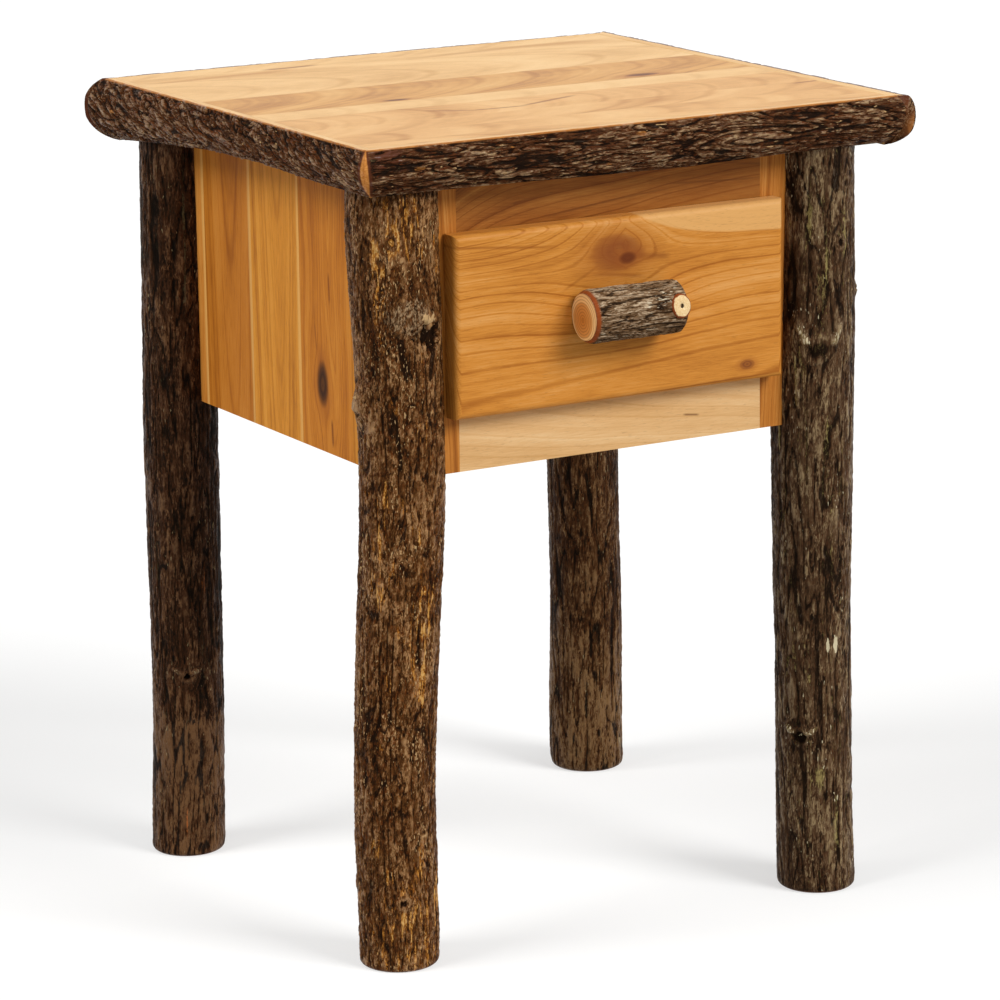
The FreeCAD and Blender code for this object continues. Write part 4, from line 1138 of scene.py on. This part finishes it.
def bark_pull():
    """The pull as rings along its axis: flat ends, a bevel at each, a long one on the left, bark between,
    and everything behind the drawer front's face brought onto that plane. The bark's tone is lighter
    on top and darker below: painted light and painted shade."""
    length = pull_high.x - pull_low.x
    columns = int(2 * math.pi * pull_radius / pull_grain)
    bevel_long, bevel_deep = pull_bevel
    bevel = np.linspace(0, 1, 6)
    middle = np.arange(bevel_long, length - pull_right_bevel, pull_grain)[1:]
    right_bevel = length - pull_right_bevel * bevel[::-1]
    x = np.concatenate([[0, 0], bevel_long * bevel, middle, right_bevel, [length, length]])
    face = pull_radius - bevel_deep
    radius = np.concatenate([
        [face * 0.5, face * 0.97], face + bevel_deep * bevel ** 0.8, np.full(len(middle), pull_radius),
        face + bevel_deep * bevel[::-1] ** 0.8, [face * 0.97, face * 0.5]])
    angle = 2 * math.pi * np.arange(columns) / columns
    radius = np.repeat(radius, columns)
    x, angle = [grid.ravel() for grid in np.meshgrid(x, angle, indexing="ij")]
    place = np.column_stack([pull_radius * np.cos(angle), pull_radius * np.sin(angle), x])
    relief, marks = bark(place, 900, branch_bark)
    inner = np.minimum(x / bevel_long, (length - x) / pull_right_bevel)
    cover = smooth(inner, 0.55, 1.1)
    marks["worn"] = (1 - cover) * smooth(inner, -0.2, 0.1)
    # Painted light and shade: the tone rises on top of the pull and falls below it.
    marks["tone"] = np.clip(marks["tone"] + 0.12 * np.cos(angle) - 0.05, 0, 1)
    marks["stain"] = marks["stain"] * 0.3
    marks["moss"] = marks["moss"] * 0.2
    for mark in ("furrow", "fleck", "stain", "moss"):
        marks[mark] = marks[mark] * cover
    radius = radius + (relief + 0.6 * mm) * cover
    y = np.minimum(pull_axis_y - radius * np.sin(angle), pull_high.y)
    z = pull_axis_z + radius * np.cos(angle)
    rings = np.column_stack([pull_low.x + x, y, z]).reshape(-1, columns, 3)
    ends = [(pull_low.x, pull_axis_y, pull_axis_z), (pull_high.x, pull_axis_y, pull_axis_z)]
    bark_skin = bark_finish("pull_lacquered_bark", branch_shades, "x", branch_bark["stroke"])
    pith = (pull_axis_y + 2 * mm, pull_axis_z - 3 * mm)
    grain = end_grain("pull_sanded_end_grain", "x", pith, face, 3.0)
    piece = skin("bark_pull", rings, ends, marks, [bark_skin, grain], "drawer", "log_pull")
    numbers = np.zeros(len(piece.data.polygons), np.int32)
    quads = (len(rings) - 1) * columns
    numbers[:2 * columns] = 1
    numbers[quads - 2 * columns:] = 1
    piece.data.polygons.foreach_set("material_index", numbers)
    return piece


def twig_stub():
    """The twig's stump, turned about its own tilted axis: a shallow pith hole, a sanded cream face, a
    bevelled ring of red-brown inner bark and a bark side that sinks into the pull. The pull's end
    cuts it off on the right."""
    outline = np.array(twig_profile) * mm
    columns = 96
    angle = 2 * math.pi * np.arange(columns) / columns
    radius, rise = [np.repeat(values, columns) for values in outline.T]
    angle = np.tile(angle, len(outline))
    rough = noise(np.column_stack([np.cos(angle), np.sin(angle), rise / (3 * mm)]) * 2.2, 950)
    radius = radius * (1 + 0.035 * rough * (radius > 0.6 * twig_radius))
    across, up = radius * np.sin(angle), twig_oval * radius * np.cos(angle)
    rise = rise + twig_cap
    x = np.minimum(twig_x + across, pull_high.x)
    y = pull_axis_y - rise * math.cos(twig_tilt) + up * math.sin(twig_tilt)
    z = pull_axis_z + rise * math.sin(twig_tilt) + up * math.cos(twig_tilt)
    rings = np.column_stack([x, y, z]).reshape(-1, columns, 3)[::-1]
    flat = (radius < twig_face * mm)[::-1]
    deep = (radius < twig_pith * mm)[::-1]
    marks = {mark: np.zeros(len(x)) for mark in ("tone", "fleck", "stain", "moss")}
    marks["tone"] = np.full(len(x), 0.5)
    marks["bare"] = (flat & ~deep).astype(float)
    marks["furrow"] = deep * 1.3
    marks["worn"] = np.where(flat | deep, 0.0, 1.0)
    poles = [rings[0].mean(0), rings[-1].mean(0)]
    shades = dict(branch_shades, bare=((0.3, "d8b078"), (0.7, "efd6a6")), worn="8a4420")
    finish = bark_finish("twig_lacquered_bark", shades, "y", branch_bark["stroke"])
    return skin("twig_stub", rings, poles, marks, [finish], "drawer", None)


bark_pull()
twig_stub()

# Drawer box
# Maple sides, front and back, half an inch thick, dovetailed together; the bottom is a plywood panel
# held in grooves.
maple = ("c9a06c", "dcb988", "ead0a6")
for seed, (node, along, across, deep) in enumerate((
        ("drawer_box_left_side", "y", "z", "x"), ("drawer_box_right_side", "y", "z", "x"),
        ("drawer_box_front", "x", "z", "y"), ("drawer_box_back", "x", "z", "y")), 90):
    dress(node, hickory("clear_maple_" + node, along, across, deep, seed, maple,
                        contrast=0.5, bend=4, ring=2.2, mottle=0.2, gloss=0.4))
dress("drawer_bottom", hickory("birch_plywood_drawer_bottom", "x", "y", "z", 95, maple,
                               contrast=0.7, bend=25, ring=7, gloss=0.45))

# Slides
# Full-extension ball-bearing slides, roll-formed from zinc-plated steel strip, with hardened balls.


def zinc(name, along, shade, rough):
    """Bright zinc plate over roll-formed steel: a cool grey metal with faint drawn lines 0.4 mm apart
    along its length and cloudy passivation."""
    made, tree, surface, spot = blank_finish(name)
    lines = {"x": (40, 2500, 2500), "y": (2500, 40, 2500), "z": (900, 900, 900)}[along]
    drawn = add(tree, "VectorMath", {0: spot, 1: lines}, operation="MULTIPLY")
    drawn = add(tree, "TexNoise", {"Vector": drawn, "Scale": 1, "Detail": 2})
    cloud = add(tree, "TexNoise", {"Vector": spot, "Scale": 70, "Detail": 3})
    level = work(tree, "ADD", drawn, cloud)
    colour = ramp(tree, work(tree, "MULTIPLY", level, 0.5), ((0.35, shade[0]), (0.65, shade[1])))
    dull = scaled(tree, level, 0.6, 1.4, rough, rough + 0.18)
    bump = add(tree, "Bump", {"Height": drawn, "Strength": 0.2, "Distance": 0.05 * mm})
    feed(tree, surface, {"Base Color": colour, "Metallic": 1, "Roughness": dull, "Normal": bump})
    return made


slide_zinc = zinc("zinc_plated_slide_steel", "y", ("9a9c9f", "c4c6c8"), 0.28)
ball_steel = zinc("hardened_ball_steel", "z", ("a8aaac", "d0d1d2"), 0.12)
for side in ("left", "right"):
    for member in ("cabinet", "middle", "drawer"):
        dress(f"{side}_slide_{member}_member", slide_zinc)
    dress(f"{side}_slide_balls", ball_steel)

# Screws, dowels, cleats, runners and bumpers
# Pan-head screws of yellow-passivated steel, beech dowels, plain hickory strips inside the case and
# clear soft bumpers behind the drawer front.
screw_steel = zinc("yellow_passivated_screw_steel", "z", ("a8925a", "cbb983"), 0.3)
for node in ("top_screws", "runner_screws", "slide_cabinet_screws", "slide_drawer_screws",
             "drawer_front_screws", "pull_screws"):
    dress(node, screw_steel)
beech = ("b98a5c", "cda273", "dab68a")
dress("leg_dowels", hickory("beech_dowel", "z", "x", "y", 101, beech, contrast=0.4, ring=2))
strip_tones = ("93602c", "b98345", "cf9e60")
strips = ("left_top_cleat", "right_top_cleat", "left_runner_rail", "right_runner_rail")
for seed, node in enumerate(strips, 110):
    dress(node, hickory("plain_hickory_" + node, "y", "z", "x", seed, strip_tones, gloss=0.5))


def bumper_finish():
    """Clear polyurethane bumpers: faintly yellow, soft-glossy and slightly cloudy inside."""
    made, tree, surface, spot = blank_finish("clear_polyurethane_bumper")
    cloud = add(tree, "TexNoise", {"Vector": spot, "Scale": 900, "Detail": 2})
    colour = ramp(tree, cloud, ((0.3, "dcdccb"), (0.7, "f0f0e4")))
    feed(tree, surface, {"Base Color": colour, "Roughness": 0.25, "Transmission Weight": 0.6, "IOR": 1.5})
    return made


dress("drawer_bumpers", bumper_finish())

# Floor and light
# A plain white floor that keeps a soft shadow, a broad soft key light from the upper right front, a
# weaker one from the upper left, and an even pale surround that shiny surfaces mirror.
white = (1, 1, 1, 1)
floor_reach = 60


def seen_directly(tree):
    """1 for what the camera sees straight, mirrored or through something clear, otherwise 0."""
    paths = add(tree, "LightPath").node.outputs
    seen = work(tree, "MAXIMUM", paths["Is Camera Ray"], paths["Is Glossy Ray"])
    return work(tree, "MAXIMUM", seen, paths["Is Transmission Ray"])


def floor():
    """A wide flat square at foot level, white to the camera where nothing shades it."""
    made, tree, surface, spot = blank_finish("white_paper_floor")
    tree.nodes.remove(surface)
    grain = add(tree, "TexNoise", {"Vector": spot, "Scale": 300})
    tint = ramp(tree, grain, ((0.3, "bcbcbb"), (0.7, "bebebd")))
    paper = add(tree, "BsdfDiffuse", {"Color": tint})
    glow = add(tree, "Emission", {"Color": white, "Strength": 0.5})
    both = add(tree, "AddShader", {0: paper, 1: glow})
    shown = add(tree, "MixShader", {0: seen_directly(tree), 1: paper, 2: both})
    feed(tree, tree.nodes["Material Output"], {"Surface": shown})
    mesh = bpy.data.meshes.new("floor")
    corners = [(x * floor_reach, y * floor_reach, 0) for x, y in ((-1, -1), (1, -1), (1, 1), (-1, 1))]
    mesh.from_pydata(corners, [], [(0, 1, 2, 3)])
    mesh.materials.append(made)
    piece = bpy.data.objects.new("floor", mesh)
    scene.collection.objects.link(piece)
    piece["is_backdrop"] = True


def soft_light(name, towards, strength, spread):
    """A distant lamp as wide as spread degrees, in the direction towards, seen from the table."""
    lamp = bpy.data.lights.new(name, "SUN")
    lamp.energy = strength
    lamp.angle = math.radians(spread)
    holder = bpy.data.objects.new(name, lamp)
    holder.rotation_euler = (-Vector(towards)).to_track_quat("-Z", "Y").to_euler()
    scene.collection.objects.link(holder)


floor()
soft_light("key_light", (0.28, -0.57, 0.45), 2.5, 28)
soft_light("left_light", (-0.74, 0.04, 0.67), 1.75, 30)
world = bpy.data.worlds.new("pale_surround")
world.use_nodes = True
scene.world = world
surround = world.node_tree
strength = scaled(surround, seen_directly(surround), 0, 1, 0.3, 1.0)
feed(surround, surround.nodes["Background"], {"Color": white, "Strength": strength})
scene.view_settings.view_transform = "Standard"

low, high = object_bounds()
